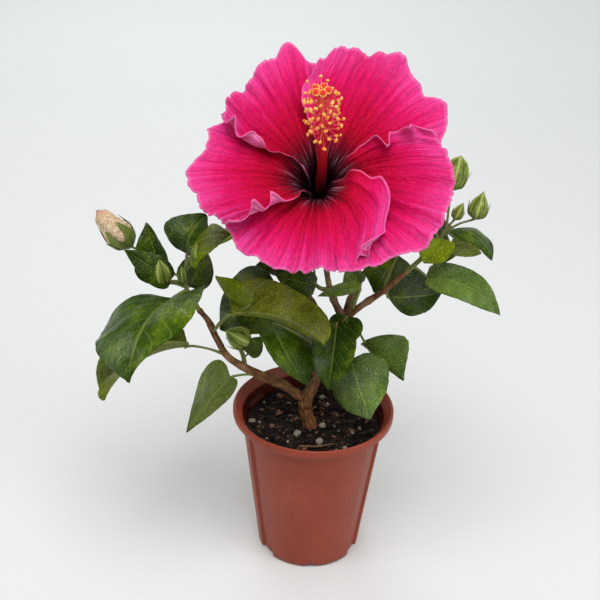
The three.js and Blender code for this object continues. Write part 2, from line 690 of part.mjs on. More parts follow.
const MASSES = {
  left_crown_leaves: {
    on: LEFT_BOUGH,
    at: 1,
    stem: [[180, 62, 8.1], [180, 65, 10.2], [120, 74, 8.5]],
    leaves: [
      { from: 0.59, petiole: [235, -1, 14.4], blade: [252, -21, 68.4], width: 85, roll: 28, droop: 62,
        fold: 5, lobe: 0.19, skew: 0.05 },
      { from: 0.75, petiole: [186, 1, 12.8], blade: [156, 71, 41.3], width: 27, roll: -19, droop: 2,
        fold: -20, lobe: 0.00, sway: 0.03, skew: -0.12 },
      { from: 0.78, petiole: [217, 21, 11.7], blade: [205, 43, 38.5], width: 20, roll: -70, droop: 20,
        fold: 20 },
      { from: 0.95, petiole: [71, 72, 14.7], blade: [16, 65, 28.6], width: 36, roll: 41, droop: 101,
        fold: 11, lobe: 0.08, sway: 0.04, full: 0.72, skew: -0.09, lobeSkew: 0.30 },
      { from: 1, petiole: [321, 67, 16.6], blade: [333, 36, 35.7], width: 31, roll: 32, droop: 91, fold: -6,
        lobe: 0.00, sway: -0.03, full: 0.71, skew: 0.08 },
      { from: 0.7, petiole: [80, -30, 11.5], blade: [44, 60, 27], width: 24, roll: 52, droop: 20 },
    ],
    buds: [
      { from: 0.65, stalk: [203, 23, 16.5], axis: [246, 77], length: 19.4, width: 13 },
      { from: 1, stalk: [301, 43, 26.4], axis: [0, 89], length: 12.4, width: 6.5 },
      { from: 0.75, stalk: [264, 40, 6], axis: [248, 81], length: 12, width: 5 },
      { from: 0.8, stalk: [160, 25, 42], axis: [198, 53], length: 33, width: 17, blunt: true },
    ],
    fill: { seed: 11, count: 3, facing: 95, arc: 90, chord: 44 },
  },
  left_side_leaf: {
    on: LEFT_BOUGH,
    at: 0.585,
    leaves: [{ petiole: [189, 18, 26.0], blade: [196, -30, 66.0], width: 54, roll: -11, droop: 82, fold: 57,
      lobe: 0.00, sway: -0.02, skew: -0.06 }],
  },
  lower_left_leaf: {
    on: LEFT_BOUGH,
    at: 0.4,
    leaves: [{ petiole: [203, 6, 20.3], blade: [178, -50, 53.2], width: 52, roll: 105, droop: 2, fold: 60,
      lobe: 0.00, sway: 0.12, full: 0.77, skew: -0.26 }],
  },
  left_shoot: {
    on: LEFT_BOUGH,
    at: 0.47,
    stem: [[110, 55, 8], [165, 65, 10]],
    leaves: [{ from: 0.4, petiole: [60, 10, 5], blade: [34, 43, 14.8], width: 14, roll: 49 }],
    buds: [{ from: 1, stalk: [323, 27, 9.7], axis: [202, 37], length: 19, width: 15 }],
  },
  centre_leaf: {
    on: LEFT_BOUGH,
    at: 0.764,
    leaves: [
      { petiole: [302, 46, 33.8], blade: [347, -15, 61.9], width: 42, roll: -84, droop: 100, fold: 43,
        lobe: 0.16, sway: 0.08, full: 0.45, skew: 0.10, lobeSkew: -0.40 },
      { petiole: [318, 45, 46.4], blade: [165, 36, 27.4], width: 17, roll: -86, droop: 9, fold: -20,
        lobe: 0.29, full: 0.73, skew: -0.06 },
    ],
  },
  centre_back_leaf: {
    on: TRUNK,
    at: 0.8,
    leaves: [{ petiole: [163, 36, 53], blade: [186, -41, 50], width: 46, roll: -55, droop: 20, fold: 6 }],
  },
  front_leaves: {
    on: TRUNK,
    at: 0.714,
    stem: [[250, 10, 7.5], [310, 60, 10], [60, 60, 8]],
    leaves: [
      { from: 0.34, petiole: [172, 27, 40.8], blade: [298, -55, 46.3], width: 40, roll: -11, droop: 24,
        fold: 6, lobe: 0.3, sway: -0.35, full: 0.85, skew: -0.2, lobeSkew: 0.6 },
      { from: 0.8, petiole: [63, 70, 12.8], blade: [256, -69, 46.3], width: 30, roll: -11, droop: 30,
        fold: 15 },
      { from: 1, petiole: [32, 50, 14], blade: [249, -61, 22.1], width: 24, roll: -3, droop: 30 },
    ],
  },
  low_right_leaves: {
    on: TRUNK,
    at: 0.93,
    stem: [[0, -5, 5], [0, -25, 3]],
    leaves: [
      { from: 0.8, petiole: [270, -78, 24.2], blade: [288, -29, 45.9], width: 48, roll: 42, droop: 26,
        fold: -20, lobe: 0.16, sway: -0.02, full: 0.77, skew: 0.03, lobeSkew: -0.37 },
      { from: 1, petiole: [31, -57, 17.3], blade: [347, -44, 38.7], width: 44, roll: 118, droop: 2,
        fold: -20, lobe: 0.01, sway: -0.03, full: 0.85, skew: -0.07 },
    ],
  },
  fork_leaves: {
    on: RIGHT_BOUGH,
    at: 0.1,
    stem: [[20, 78, 9], [20, 70, 9]],
    leaves: [
      { from: 0.9, petiole: [271, 49, 10.8], blade: [181, -18, 28.6], width: 9, roll: -50 },
      { from: 0.6, petiole: [128, 70, 6], blade: [163, 62, 14.5], width: 11, roll: -64 },
      { from: 1, petiole: [80, 30, 4], blade: [129, 30, 14.8], width: 11, roll: -40 },
    ],
  },
  under_bloom_leaves: {
    on: BLOOM_STEM,
    at: 0.333,
    stem: [[200, 10, 6], [150, 20, 6]],
    leaves: [
      { from: 0.6, petiole: [150, 5, 3], blade: [172, 10, 27], width: 19, roll: -60 },
      { from: 1, petiole: [92, 48, 16.4], blade: [163, -17, 42.6], width: 22, roll: -69 },
    ],
  },
  back_left_leaves: {
    on: BACK_LEFT_BOUGH,
    at: 1,
    stem: [[130, 50, 9], [125, 60, 9], [120, 70, 8]],
    fill: { seed: 5, count: 8, facing: 110, arc: 330, chord: 50 },
  },
  back_right_leaves: {
    on: BACK_RIGHT_BOUGH,
    at: 1,
    stem: [[50, 50, 9], [55, 60, 9], [60, 70, 8]],
    fill: { seed: 8, count: 8, facing: 60, arc: 330, chord: 50 },
  },
  low_back_leaves: {
    on: TRUNK,
    at: 0.6,
    stem: [[110, 20, 6], [110, 40, 6]],
    fill: { seed: 21, count: 4, facing: 105, arc: 100, chord: 46, petiole: 22 },
  },
  right_crown_leaves: {
    on: RIGHT_BOUGH,
    at: 1,
    stem: [[0, 48, 8.8], [10, 46.5, 16], [19, 58.6, 11.6]],
    leaves: [
      { from: 0.17, petiole: [348, -32, 11.2], blade: [353, -25, 54.7], width: 26, roll: 33, droop: 96,
        fold: 8, lobe: 0.18, full: 0.71 },
      { from: 0.66, petiole: [303, 46, 10], blade: [178, -64, 20.6], width: 26, roll: -89, droop: 14,
        fold: 35, lobe: 0.15, sway: 0.08, skew: 0.17, lobeSkew: -1 },
      { from: 0.98, petiole: [316, 26, 6.0], blade: [325, -24, 31.9], width: 24, roll: 0, droop: 102,
        fold: -9, lobe: 0.00, sway: -0.03, full: 0.57, skew: -0.24 },
      { from: 0.95, petiole: [5, -62, 10.5], blade: [0, -4, 20.4], width: 13, roll: -104, sway: -0.17,
        full: 0.6 },
    ],
    buds: [
      { from: 1, stalk: [63, 85, 27], axis: [25, 78], length: 22.5, width: 14.5, blunt: true },
      { from: 0.97, stalk: [0, 28, 20.4], axis: [0, 79], length: 19, width: 12 },
      { from: 0.99, stalk: [0, 58, 9.2], axis: [0, 69], length: 12.7, width: 7 },
    ],
    fill: { seed: 17, count: 4, facing: 118, arc: 120, chord: 44 },
  },
  right_inner_leaves: {
    on: RIGHT_BOUGH,
    at: 0.5,
    stem: [[75, 30, 5], [75, 40, 4]],
    leaves: [
      { from: 0.5, petiole: [25, -80, 10.8], blade: [346, 15, 36.6], width: 42, roll: 92, droop: 30,
        fold: -20, lobe: 0.00 },
      { from: 1, petiole: [27, 67, 16.4], blade: [150, -63, 35.3], width: 36, roll: -90, droop: 30 },
    ],
  },
};

const COLOURS = {
  pot: [0xa04a35, 0.55],
  soil: [0x2a211b, 0.95],
  bark: [0x8a6247, 0.85],
  stem: [0x6b7a3f, 0.7],
  leaf: [0x3c6b25, 0.5],
  petal: [0xe3206f, 0.6],
  column: [0xd8452a, 0.5],
};
const look = (name) =>
  new THREE.MeshStandardMaterial({ color: COLOURS[name][0], roughness: COLOURS[name][1], metalness: 0 });

const foot = solid(new THREE.BoxGeometry(40, 40, 20).translate(0, 0, SOIL_TOP + GAP - 10));
const trunk = limb(TRUNK).subtract(foot);
addMesh("pot", makePot(), look("pot"));
addMesh("soil", makeSoil(), look("soil"));
addMesh("trunk", trunk, look("bark"));
addMesh("left_bough", limb(LEFT_BOUGH).subtract(limb(TRUNK, GAP)), look("bark"));
addMesh("right_bough", limb(RIGHT_BOUGH).subtract(limb(TRUNK, GAP)), look("bark"));
addMesh(
  "bloom_stem",
  limb(BLOOM_STEM).subtract(limb(TRUNK, GAP)).subtract(limb(RIGHT_BOUGH, GAP)),
  look("stem"),
);
addMesh("back_left_bough", limb(BACK_LEFT_BOUGH).subtract(limb(TRUNK, GAP)), look("bark"));
addMesh(
  "back_right_bough",
  limb(BACK_RIGHT_BOUGH).subtract(limb(TRUNK, GAP)).subtract(limb(RIGHT_BOUGH, GAP)),
  look("bark"),
);
addMesh("calyx", makeCalyx(), look("stem"));
addMesh("column", makeColumn(), look("column"));
PETALS.forEach((petal, i) => {
  const earlier = PETALS.slice(0, i).map((other) => makePetal(other, PETAL_THICKNESS + 2 * GAP, PETAL_ROOM));
  const shape = earlier.reduce((body, room) => body.subtract(room), makePetal(petal));
  addMesh(`petal_${i + 1}`, shape, look("petal"));
});
const masses = Object.entries(MASSES).map(([name, recipe]) => ({ name, recipe, pieces: massPieces(recipe) }));
for (const { name, recipe, pieces } of masses) {
  const others = masses.filter((mass) => mass.name !== name).flatMap((mass) => mass.pieces);
  if (recipe.fill) pieces.push(...fillPieces(recipe, [...placed, ...others, ...pieces.slice(1)]));
  addMesh(name, joined(pieces).subtract(limb(recipe.on, GAP)).simplify(SLIVER), look("leaf"));
}

export default group;
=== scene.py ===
import math
from functools import partial

import bmesh
import bpy
from mathutils import Matrix, Vector, noise
from mathutils.bvhtree import BVHTree


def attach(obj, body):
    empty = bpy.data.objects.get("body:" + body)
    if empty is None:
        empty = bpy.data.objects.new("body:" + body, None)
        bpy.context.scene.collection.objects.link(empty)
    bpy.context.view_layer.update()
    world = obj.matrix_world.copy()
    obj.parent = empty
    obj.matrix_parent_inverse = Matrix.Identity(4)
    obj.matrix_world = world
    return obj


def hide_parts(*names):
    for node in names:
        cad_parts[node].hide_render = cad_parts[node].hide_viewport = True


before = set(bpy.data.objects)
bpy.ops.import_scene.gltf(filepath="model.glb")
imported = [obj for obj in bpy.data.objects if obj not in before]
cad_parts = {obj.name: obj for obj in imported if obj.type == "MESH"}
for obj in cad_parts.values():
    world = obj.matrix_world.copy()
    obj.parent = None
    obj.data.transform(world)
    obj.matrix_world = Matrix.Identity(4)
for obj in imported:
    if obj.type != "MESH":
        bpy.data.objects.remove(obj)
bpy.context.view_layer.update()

# A young hibiscus in its nursery pot. Shapes are worked out in millimetres and scaled to metres at the end.
# Directions are [azimuth, elevation] in degrees: azimuth 0 points to +X, 90 to the back.
scene = bpy.context.scene
scene.view_settings.view_transform = "Standard"


def seededRun(seed):
    state = seed
    while True:
        state = (state * 1664525 + 1013904223) & 0xFFFFFFFF
        yield state / 4294967296


def mix(a, b, t):
    return a + (b - a) * t


def smooth(value, low, high):
    t = min(1, max(0, (value - low) / (high - low)))
    return t * t * (3 - 2 * t)


def pointing(azimuth, elevation):
    az, el = math.radians(azimuth), math.radians(elevation)
    return Vector((math.cos(el) * math.cos(az), math.cos(el) * math.sin(az), math.sin(el)))


def polar(radius, angle, z=0):
    return Vector((radius * math.cos(angle), radius * math.sin(angle), z))


def around(side, other, angle):  # the direction at this angle from side towards other
    return side * math.cos(angle) + other * math.sin(angle)


def along(values, t):
    step = min(max(t, 0), 1) * (len(values) - 1)
    low = min(int(step), len(values) - 2)
    return mix(values[low], values[low + 1], step - low)


def smoothAlong(values, t):  # as along, but with no corners
    step = min(max(t, 0), 1) * (len(values) - 1)
    low = min(int(step), len(values) - 2)
    a, b, c, d = (values[min(max(k, 0), len(values) - 1)] for k in range(low - 1, low + 3))
    f = step - low
    return b + 0.5 * f * (c - a + f * (2 * a - 5 * b + 4 * c - d + f * (3 * (b - c) + d - a)))


def curvePoint(path, t):  # a centripetal Catmull-Rom curve through the path's points
    points = [Vector(p) for p in path]
    step = min(max(t, 0), 1) * (len(points) - 1)
    low = min(int(step), len(points) - 2)
    b, c = points[low], points[low + 1]
    a = points[low - 1] if low > 0 else b * 2 - c
    d = points[low + 2] if low + 2 < len(points) else c * 2 - b
    before, within, after = [max((q - p).length ** 0.5, 1e-4) for p, q in ((a, b), (b, c), (c, d))]
    startPull = ((b - a) / before - (c - a) / (before + within) + (c - b) / within) * within
    endPull = ((c - b) / within - (d - b) / (within + after) + (d - c) / after) * within
    f = step - low
    return (
        b
        + startPull * f
        + (3 * (c - b) - 2 * startPull - endPull) * f ** 2
        + (2 * (b - c) + startPull + endPull) * f ** 3
    )


def curveFrames(path, steps):  # points along the curve with two directions across it that never twist
    points = [curvePoint(path, i / steps) for i in range(steps + 1)]
    frames = []
    side = None
    for i, point in enumerate(points):
        run = (points[min(i + 1, steps)] - points[max(i - 1, 0)]).normalized()
        side = run.orthogonal().normalized() if side is None else (side - run * side.dot(run)).normalized()
        frames.append((point, side, run.cross(side)))
    return frames


# Mesh helpers
def newSheet():
    bm = bmesh.new()
    bm.loops.layers.uv.new("UVMap")
    return bm


def paint(verts, slot):
    for face in {face for vert in verts for face in vert.link_faces}:
        face.material_index = slot


def bendGrid(bm, across, lengthwise, place, slot=0, closed=False):
    grid = bmesh.ops.create_grid(bm, x_segments=across, y_segments=lengthwise, size=0.5, calc_uvs=True)
    paint(grid["verts"], slot)
    for vert in grid["verts"]:
        vert.co = place(vert.co.x + 0.5, vert.co.y + 0.5)
    if closed:
        bmesh.ops.remove_doubles(bm, verts=grid["verts"], dist=1e-4)


def addBall(bm, place, slot, divisions):
    ball = bmesh.ops.create_icosphere(bm, subdivisions=divisions, radius=1, matrix=place)["verts"]
    paint(ball, slot)
    return ball


def addRod(bm, path, radii, sides, steps, slot=0, relief=None):
    frames = curveFrames(path, steps)

    def place(u, v):
        point, side, other = frames[round(v * steps)]
        angle = 2 * math.pi * u
        bulge = relief(point, angle, v) if relief else 0
        return point + around(side, other, angle) * (smoothAlong(radii, v) + bulge)

    bendGrid(bm, sides, steps, place, slot, closed=True)


def finishPiece(name, bm, materials, stands, slot, rim=0, thickness=None, outward=False):
    if outward:
        bmesh.ops.recalc_face_normals(bm, faces=bm.faces)
    bm.transform(Matrix.Scale(0.001, 4))
    for face in bm.faces:
        face.smooth = True
    mesh = bpy.data.meshes.new(name)
    bm.to_mesh(mesh)
    bm.free()
    piece = bpy.data.objects.new(name, mesh)
    scene.collection.objects.link(piece)
    for material in materials:
        mesh.materials.append(material)
    if thickness:
        wall = piece.modifiers.new("Thickness", "SOLIDIFY")
        wall.thickness = thickness / 1000
        wall.offset = -1
        wall.material_offset = rim
    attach(piece, "root")
    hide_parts(*stands)
    print(name, len(mesh.polygons), "faces")


# Material helpers
def fromHex(code):
    parts = [int(code[i:i + 2], 16) / 255 for i in (1, 3, 5)]
    return tuple(c / 12.92 if c <= 0.04045 else ((c + 0.055) / 1.055) ** 2.4 for c in parts) + (1,)


# A list fills a node's sockets in order, which for MapRange are the value, the two ends it comes from and
# the two it goes to. A node as a value stands for its main output.
def plug(node, sockets):
    for key, value in sockets.items() if isinstance(sockets, dict) else enumerate(sockets):
        if isinstance(value, bpy.types.Node):
            value = value.outputs[2 if value.type == "MIX" else 0]
        if isinstance(value, bpy.types.NodeSocket):
            node.id_data.links.new(value, node.inputs[key])
        else:
            node.inputs[key].default_value = fromHex(value) if isinstance(value, str) else value


def addNode(tree, kind, sockets=(), stops=None, **settings):
    node = tree.nodes.new("ShaderNode" + kind)
    for key, value in settings.items():
        setattr(node, key, value)
    plug(node, sockets)
    for i, (at, colour) in enumerate((stops or {}).items()):
        while len(node.color_ramp.elements) <= i:
            node.color_ramp.elements.new(at)
        node.color_ramp.elements[i].position = at
        node.color_ramp.elements[i].color = fromHex(colour)
    return node


def newFinish(name, roughness, ior=1.5, specular=0.5, sheen=0):
    finish = bpy.data.materials.new(name)
    finish.use_nodes = True
    shader = finish.node_tree.nodes["Principled BSDF"]
    plug(shader, {"Roughness": roughness, "IOR": ior, "Specular IOR Level": specular})
    plug(shader, {"Sheen Weight": sheen})
    add = partial(addNode, finish.node_tree)
    return finish, add, shader, add("TexCoord").outputs


def grainFinish(name, shine, pattern, stops, bump=None, kind="TexNoise", stretch=None):
    # one pattern colours the surface and, where bump gives a strength and a depth in metres, raises it; a
    # stretched one runs on the piece's own map
    finish, add, shader, coords = newFinish(name, *shine)
    place = add("Mapping", {"Vector": coords["UV"], "Scale": stretch}) if stretch else coords["Object"]
    grain = add(kind, {"Vector": place, **pattern})
    plug(shader, {"Base Color": add("ValToRGB", {"Fac": grain}, stops)})
    if bump:
        relief = add("Bump", {"Height": grain, "Strength": bump[0], "Distance": bump[1]})
        plug(shader, {"Normal": relief})
    return finish


def fineRelief(add, shader, coords, scale, strength, depth):  # down or pores without a colour of their own
    fine = add("TexNoise", {"Vector": coords["Object"], "Scale": scale, "Detail": 2})
    relief = add("Bump", {"Height": fine, "Strength": strength, "Distance": depth})
    plug(shader, {"Normal": relief})


def stripes(add, across, count, near, far, strength):  # evenly spaced lines that fade from near to far
    spaced = add("Math", [across, count], operation="MULTIPLY")
    toLine = add("Math", [spaced, 0.5], operation="PINGPONG")
    return add("MapRange", [toLine, near, far, strength, 0])


# Camera: as the photograph, 82 cm away and looking down 28 degrees, rolled 2 degrees
view = {"place": (-11.7, -629.9, 530.7), "forward": (0, 0.8813, -0.4726), "roll": 2, "lens": 66}
cameraData = bpy.data.cameras.new("Camera")
cameraData.lens = view["lens"]
camera = bpy.data.objects.new("Camera", cameraData)
forward = Vector(view["forward"]).normalized()
right = forward.cross(Vector((0, 0, 1))).normalized()
turn = Matrix((right, right.cross(forward), -forward)).transposed().to_4x4()
camera.matrix_world = Matrix.Translation(Vector(view["place"]) / 1000) @ turn @ Matrix.Rotation(
    math.radians(view["roll"]), 4, "Z"
)
scene.collection.objects.link(camera)
scene.camera = camera

# Studio: a pale table that runs up behind, one large soft light above and three weaker ones
studio = {
    # the table's colour at the front and at the back: a painted falloff of the light
    "floor": ("#d2d2d1", "#e3e5e5"),
    "sky": ("#eef1f1", 0.56),
    "target": (0, 0, 0.2),
    "lights": [
        {"name": "top", "place": (0.0, -0.6, 1.5), "size": 1.0, "power": 15.5},
        {"name": "right", "place": (1.1, -0.6, 0.9), "size": 0.9, "power": 6},
        {"name": "left", "place": (-1.2, -0.5, 1.0), "size": 0.6, "power": 3.5},
        {"name": "back", "place": (-0.3, 1.2, 1.1), "size": 1.0, "power": 5.5},
    ],
}
# white laminate table, painted darker towards the front and paler up the back as a painted falloff of the
# light, with a faint unevenness in its sheen
floorFinish, add, shader, coords = newFinish("tableLaminate", 0.7)
depth = add("SeparateXYZ", [coords["Object"]]).outputs["Y"]
lightFalloff = add("MapRange", [depth, -0.3, 1.2])
shade = add("ValToRGB", {"Fac": lightFalloff}, dict(enumerate(studio["floor"])))
grain = add("TexNoise", {"Vector": coords["Object"], "Scale": 3, "Detail": 2})
sheen = add("MapRange", [grain, 0, 1, 0.6, 0.8])
plug(shader, {"Base Color": shade, "Roughness": sheen})
sweep = bmesh.new()
bmesh.ops.create_grid(sweep, x_segments=8, y_segments=24, size=3)
for vert in sweep.verts:
    beyond = max(0, vert.co.y - 0.9)
    vert.co.z = -0.0005 + 0.5 * beyond ** 2
sweepMesh = bpy.data.meshes.new("table")
sweep.to_mesh(sweepMesh)
sweep.free()
sweepMesh.materials.append(floorFinish)
sweepMesh.polygons.foreach_set("use_smooth", [True] * len(sweepMesh.polygons))
table = bpy.data.objects.new("table", sweepMesh)
scene.collection.objects.link(table)
for lamp in studio["lights"]:
    light = bpy.data.lights.new(lamp["name"], "AREA")
    light.shape = "DISK"
    light.size = lamp["size"]
    light.energy = lamp["power"]
    holder = bpy.data.objects.new(lamp["name"], light)
    holder.location = lamp["place"]
    inward = Vector(studio["target"]) - Vector(lamp["place"])
    holder.rotation_euler = inward.to_track_quat("-Z", "Y").to_euler()
    scene.collection.objects.link(holder)
world = bpy.data.worlds.new("studio")
scene.world = world
world.use_nodes = True
plug(world.node_tree.nodes["Background"], studio["sky"])
print("camera and studio set")

# Pot: injection-moulded polypropylene, terracotta brown, with a wide raised panel in front and behind
pot = {
    "height": 112, "rim": 55, "lip": 6, "neck": 49.5, "foot": 36.4, "wall": 1.6, "floor": 2.6, "turn": 4,
    "panelEdge": 46.5, "lobeEdge": 67, "ramp": 1.0, "bandDepth": 2.3, "lobeDepth": 0.5, "fluteTop": 101,
    "fluteFade": 1.2, "groove": 1.5, "grooveWidth": 0.8, "grooveFoot": 14, "notch": (4, 2.2), "columns": 720,
    "drain": 3, "drainCircle": 21,
}


def potFinish(name, shades, scuffTint, specular):
    # Moulded polypropylene: satin and even, with a faint mottle and fine scuffs down the wall
    finish, add, shader, coords = newFinish(name, 0.37, 1.49, specular)
    mottle = add("TexNoise", {"Vector": coords["Object"], "Scale": 30, "Detail": 6, "Roughness": 0.6})
    body = add("ValToRGB", {"Fac": mottle}, dict(zip((0.3, 0.52, 0.75), shades)))
    stretch = add("Mapping", {"Vector": coords["Object"], "Scale": (1, 1, 0.12)})
    scuffs = add("TexNoise", {"Vector": stretch, "Scale": 900, "Detail": 3})
    scuffed = add("MapRange", [scuffs, 0.6, 0.75, 0, 0.18])
    colour = add("Mix", {0: scuffed, 6: body, 7: scuffTint}, data_type="RGBA")
    sheen = add("MapRange", [mottle, 0, 1, 0.3, 0.52])
    bump = add("Bump", {"Height": scuffs, "Strength": 0.08, "Distance": 0.0003})
    plug(shader, {"Base Color": colour, "Roughness": sheen, "Normal": bump})
    return finish


def potRadius(z):
    return mix(pot["foot"], pot["neck"], z / (pot["height"] - pot["lip"]))


def panelRelief(angle, z, inner):
    side = abs((angle - pot["turn"] + 90 + 180) % 360 - 180)
    side = min(side, 180 - side)
    half = pot["ramp"] / 2
    band = smooth(side, pot["panelEdge"] - half, pot["panelEdge"] + half)
    lobe = smooth(side, pot["lobeEdge"] - half, pot["lobeEdge"] + half)
    depth = mix(pot["bandDepth"] * band, pot["lobeDepth"], lobe)
    if not inner:
        grooved = smooth(z, pot["grooveFoot"] - 1, pot["grooveFoot"] + 1)
        for edge in (pot["panelEdge"], pot["lobeEdge"]):
            depth += pot["groove"] * grooved * math.exp(-((side - edge) / pot["grooveWidth"]) ** 2)
    return depth * (1 - smooth(z, pot["fluteTop"] - pot["fluteFade"], pot["fluteTop"]))


def cutDrains(bm):
    drain, circle = pot["drain"], pot["drainCircle"]
    bent = {}
    for vert in bm.verts:
        radius, angle = math.hypot(vert.co.x, vert.co.y), math.atan2(vert.co.y, vert.co.x)
        off = math.remainder(angle - math.radians(pot["turn"] + 45), math.pi / 2)
        across = circle * math.sin(off)
        if abs(radius - circle) < drain + 0.1 and abs(across) < drain:
            half = math.copysign((drain ** 2 - across ** 2) ** 0.5, radius - circle)
            vert.co = polar(circle * math.cos(off) + half, angle, vert.co.z)
            bent[vert] = round((angle - off) / (math.pi / 2), 3)
    lids = [face for face in bm.faces if all(vert in bent for vert in face.verts)]
    bmesh.ops.delete(bm, geom=lids, context="FACES")
    rims = [edge for edge in bm.edges if edge.is_boundary]
    for hole in set(bent.values()):
        bmesh.ops.bridge_loops(bm, edges=[edge for edge in rims if bent[edge.verts[0]] == hole])


def makePot():
    bm = newSheet()
    height, lip, rim, neck, wall = pot["height"], pot["lip"], pot["rim"], pot["neck"], pot["wall"]
    lipLow = height - lip
    drainEdges = [pot["drainCircle"] - pot["drain"], pot["drainCircle"] + pot["drain"]]
    outer = [(r, 0) for r in (0.01, 9, *drainEdges)] + [(pot["foot"] - 2, 0), (pot["foot"] - 0.7, 0.15)]
    flutes = (99, 99.6, 100.2, 100.8, 101.4)
    outer += [(potRadius(z), z) for z in (0.9, 3, 6, 9, 10, 11, 20, 40, 60, 80, 95, *flutes)]
    outer += [(neck, lipLow - 0.4), (neck + 0.4, lipLow), (rim - 1, lipLow + 0.1)]
    outer += [(rim - 0.2, lipLow + 0.6), (rim, lipLow + 1.4), (rim, height - 1.4)]
    outer += [(rim - 0.35, height - 0.4), (rim - 1, height)]
    inner = [(rim - 1.5, height - 0.15), (rim - 2.1, height - 1)]
    inner += [(neck - 0.2, lipLow + 1.4), (neck - 0.9, lipLow)]
    inner += [(potRadius(z) - wall, z) for z in (*reversed(flutes), 92, 80, 60, 30, 6)]
    inner += [(r, pot["floor"]) for r in (potRadius(3) - wall - 2, *reversed(drainEdges), 0.01)]
    profile = outer + inner
    verts = [bm.verts.new((r, 0, z)) for r, z in profile]
    edges = [bm.edges.new(pair) for pair in zip(verts, verts[1:])]
    bmesh.ops.spin(
        bm, geom=verts + edges, axis=(0, 0, 1), cent=(0, 0, 0), dvec=(0, 0, 0),
        angle=2 * math.pi, steps=pot["columns"], use_merge=True, use_duplicate=False,
    )
    bmesh.ops.remove_doubles(bm, verts=bm.verts, dist=0.03)
    cutDrains(bm)
    notchHalf, notchHeight = pot["notch"]
    inside = set()
    for vert in bm.verts:
        radius, z = math.hypot(vert.co.x, vert.co.y), vert.co.z
        if radius < 5:
            continue
        angle = math.degrees(math.atan2(vert.co.y, vert.co.x))
        isInner = radius < potRadius(min(z, lipLow)) - wall / 2 and z > 1
        if isInner:
            inside.add(vert)
        radius -= panelRelief(angle, z, isInner) * smooth(radius, pot["foot"] - 8, pot["foot"] - 3)
        vert.co = polar(radius, math.radians(angle), z)
        offMiddle = abs(math.remainder(angle - pot["turn"] + 90, 180)) * math.radians(1) * pot["foot"]
        if z < 1.5 and not isInner and radius > pot["foot"] - 6:
            vert.co.z += max(0, notchHeight * (1 - offMiddle / notchHalf))
    # the faces of the inner wall take the darker finish below, painted shade for the inside of the pot
    for face in bm.faces:
        if all(vert in inside for vert in face.verts):
            face.material_index = 1
    plain = potFinish("mouldedPolypropylene", ("#82301b", "#8a3620", "#933e28"), "#b87a64", 0.34)
    # the same polypropylene made near-black brown, painted shade for the shadowed inside of the pot
    innerShade = potFinish("potInnerPaintedShade", ("#340f09", "#44150d", "#551f15"), "#6a382c", 0.15)
    finishPiece("pot_shell", bm, [plain, innerShade], ["pot"], "pot", outward=True)


makePot()

# Potting mix: peat level with the neck, with perlite, bark chips and a dry twig on it
soil = {
    "top": 97.5, "around": 300, "rings": 70, "bottomTo": 0.1, "wallTo": 0.2, "rough": 2.1,
    "crumbs": 520, "crumbSize": (0.5, 2.1),
    "perlite": 40, "perliteSize": (0.4, 1.7), "chips": 70, "chipSize": (1.0, 3.6),
    "largePerlite": [(-10.6, -16, 3.1), (4.4, -24, 2.9), (-42, -1.4, 2.4), (6.5, -5, 2.7), (6.4, 30, 2.2)],
}


def peatFinish():
    # Damp sphagnum peat: almost black, fibrous and matt, with brown fibres that catch the light
    clumps = {"Scale": 260, "Detail": 8, "Roughness": 0.7}
    stops = {0.38: "#060404", 0.52: "#18100b", 0.6: "#38241a", 0.69: "#8a6848"}
    return grainFinish("sphagnumPeat", (0.9, 1.4, 0.25), clumps, stops, (0.9, 0.0012))


def perliteFinish():
    # Expanded volcanic glass: chalky white foam grains, greyed by the peat
    stops = {0.1: "#c9c1b2", 0.5: "#7d7261"}
    return grainFinish("expandedPerlite", [0.85], {"Scale": 1800}, stops, (0.5, 0.0004), "TexVoronoi")


def chipFinish():
    # Composted pine bark: brown splinters with a grain
    stops = {0.3: "#2b1b11", 0.55: "#6a4528", 0.8: "#a98559"}
    return grainFinish("compostedPineBark", [0.8], {"Scale": 700, "Detail": 4}, stops)


def soilHeight(x, y):
    point = Vector((x, y, 0))
    swell = noise.noise(point * 0.06) * 0.5 + noise.noise(point * 0.2) * 0.6
    return soil["top"] + soil["rough"] * (swell + abs(noise.noise(point * 0.5)) * 0.6)


def addGrain(bm, random, x, y, size, slot, flatness, divisions):
    spin = Matrix.Rotation(6.28 * next(random), 4, "Z") @ Matrix.Rotation(0.5 * next(random), 4, "X")
    shape = Matrix.Diagonal((size, size * mix(0.5, 1, next(random)), size * flatness, 1))
    place = Matrix.Translation((x, y, soilHeight(x, y) + size * flatness * 0.3)) @ spin @ shape
    for vert in addBall(bm, place, slot, divisions):
        vert.co += Vector(noise.noise_vector(vert.co * 1.1)) * size * 0.3
        vert.co += Vector(noise.noise_vector(vert.co * 3.1)) * size * 0.12


def scatterGrains(bm, random, count, sizes, slot, flatness, divisions):
    edge = potRadius(soil["top"]) - pot["wall"] - 5
    for _ in range(count):
        angle = 2 * math.pi * next(random)
        x, y, _ = polar(edge * math.sqrt(mix(0.02, 1, next(random))), angle)
        addGrain(bm, random, x, y, mix(*sizes, next(random) ** 2), slot, flatness, divisions)


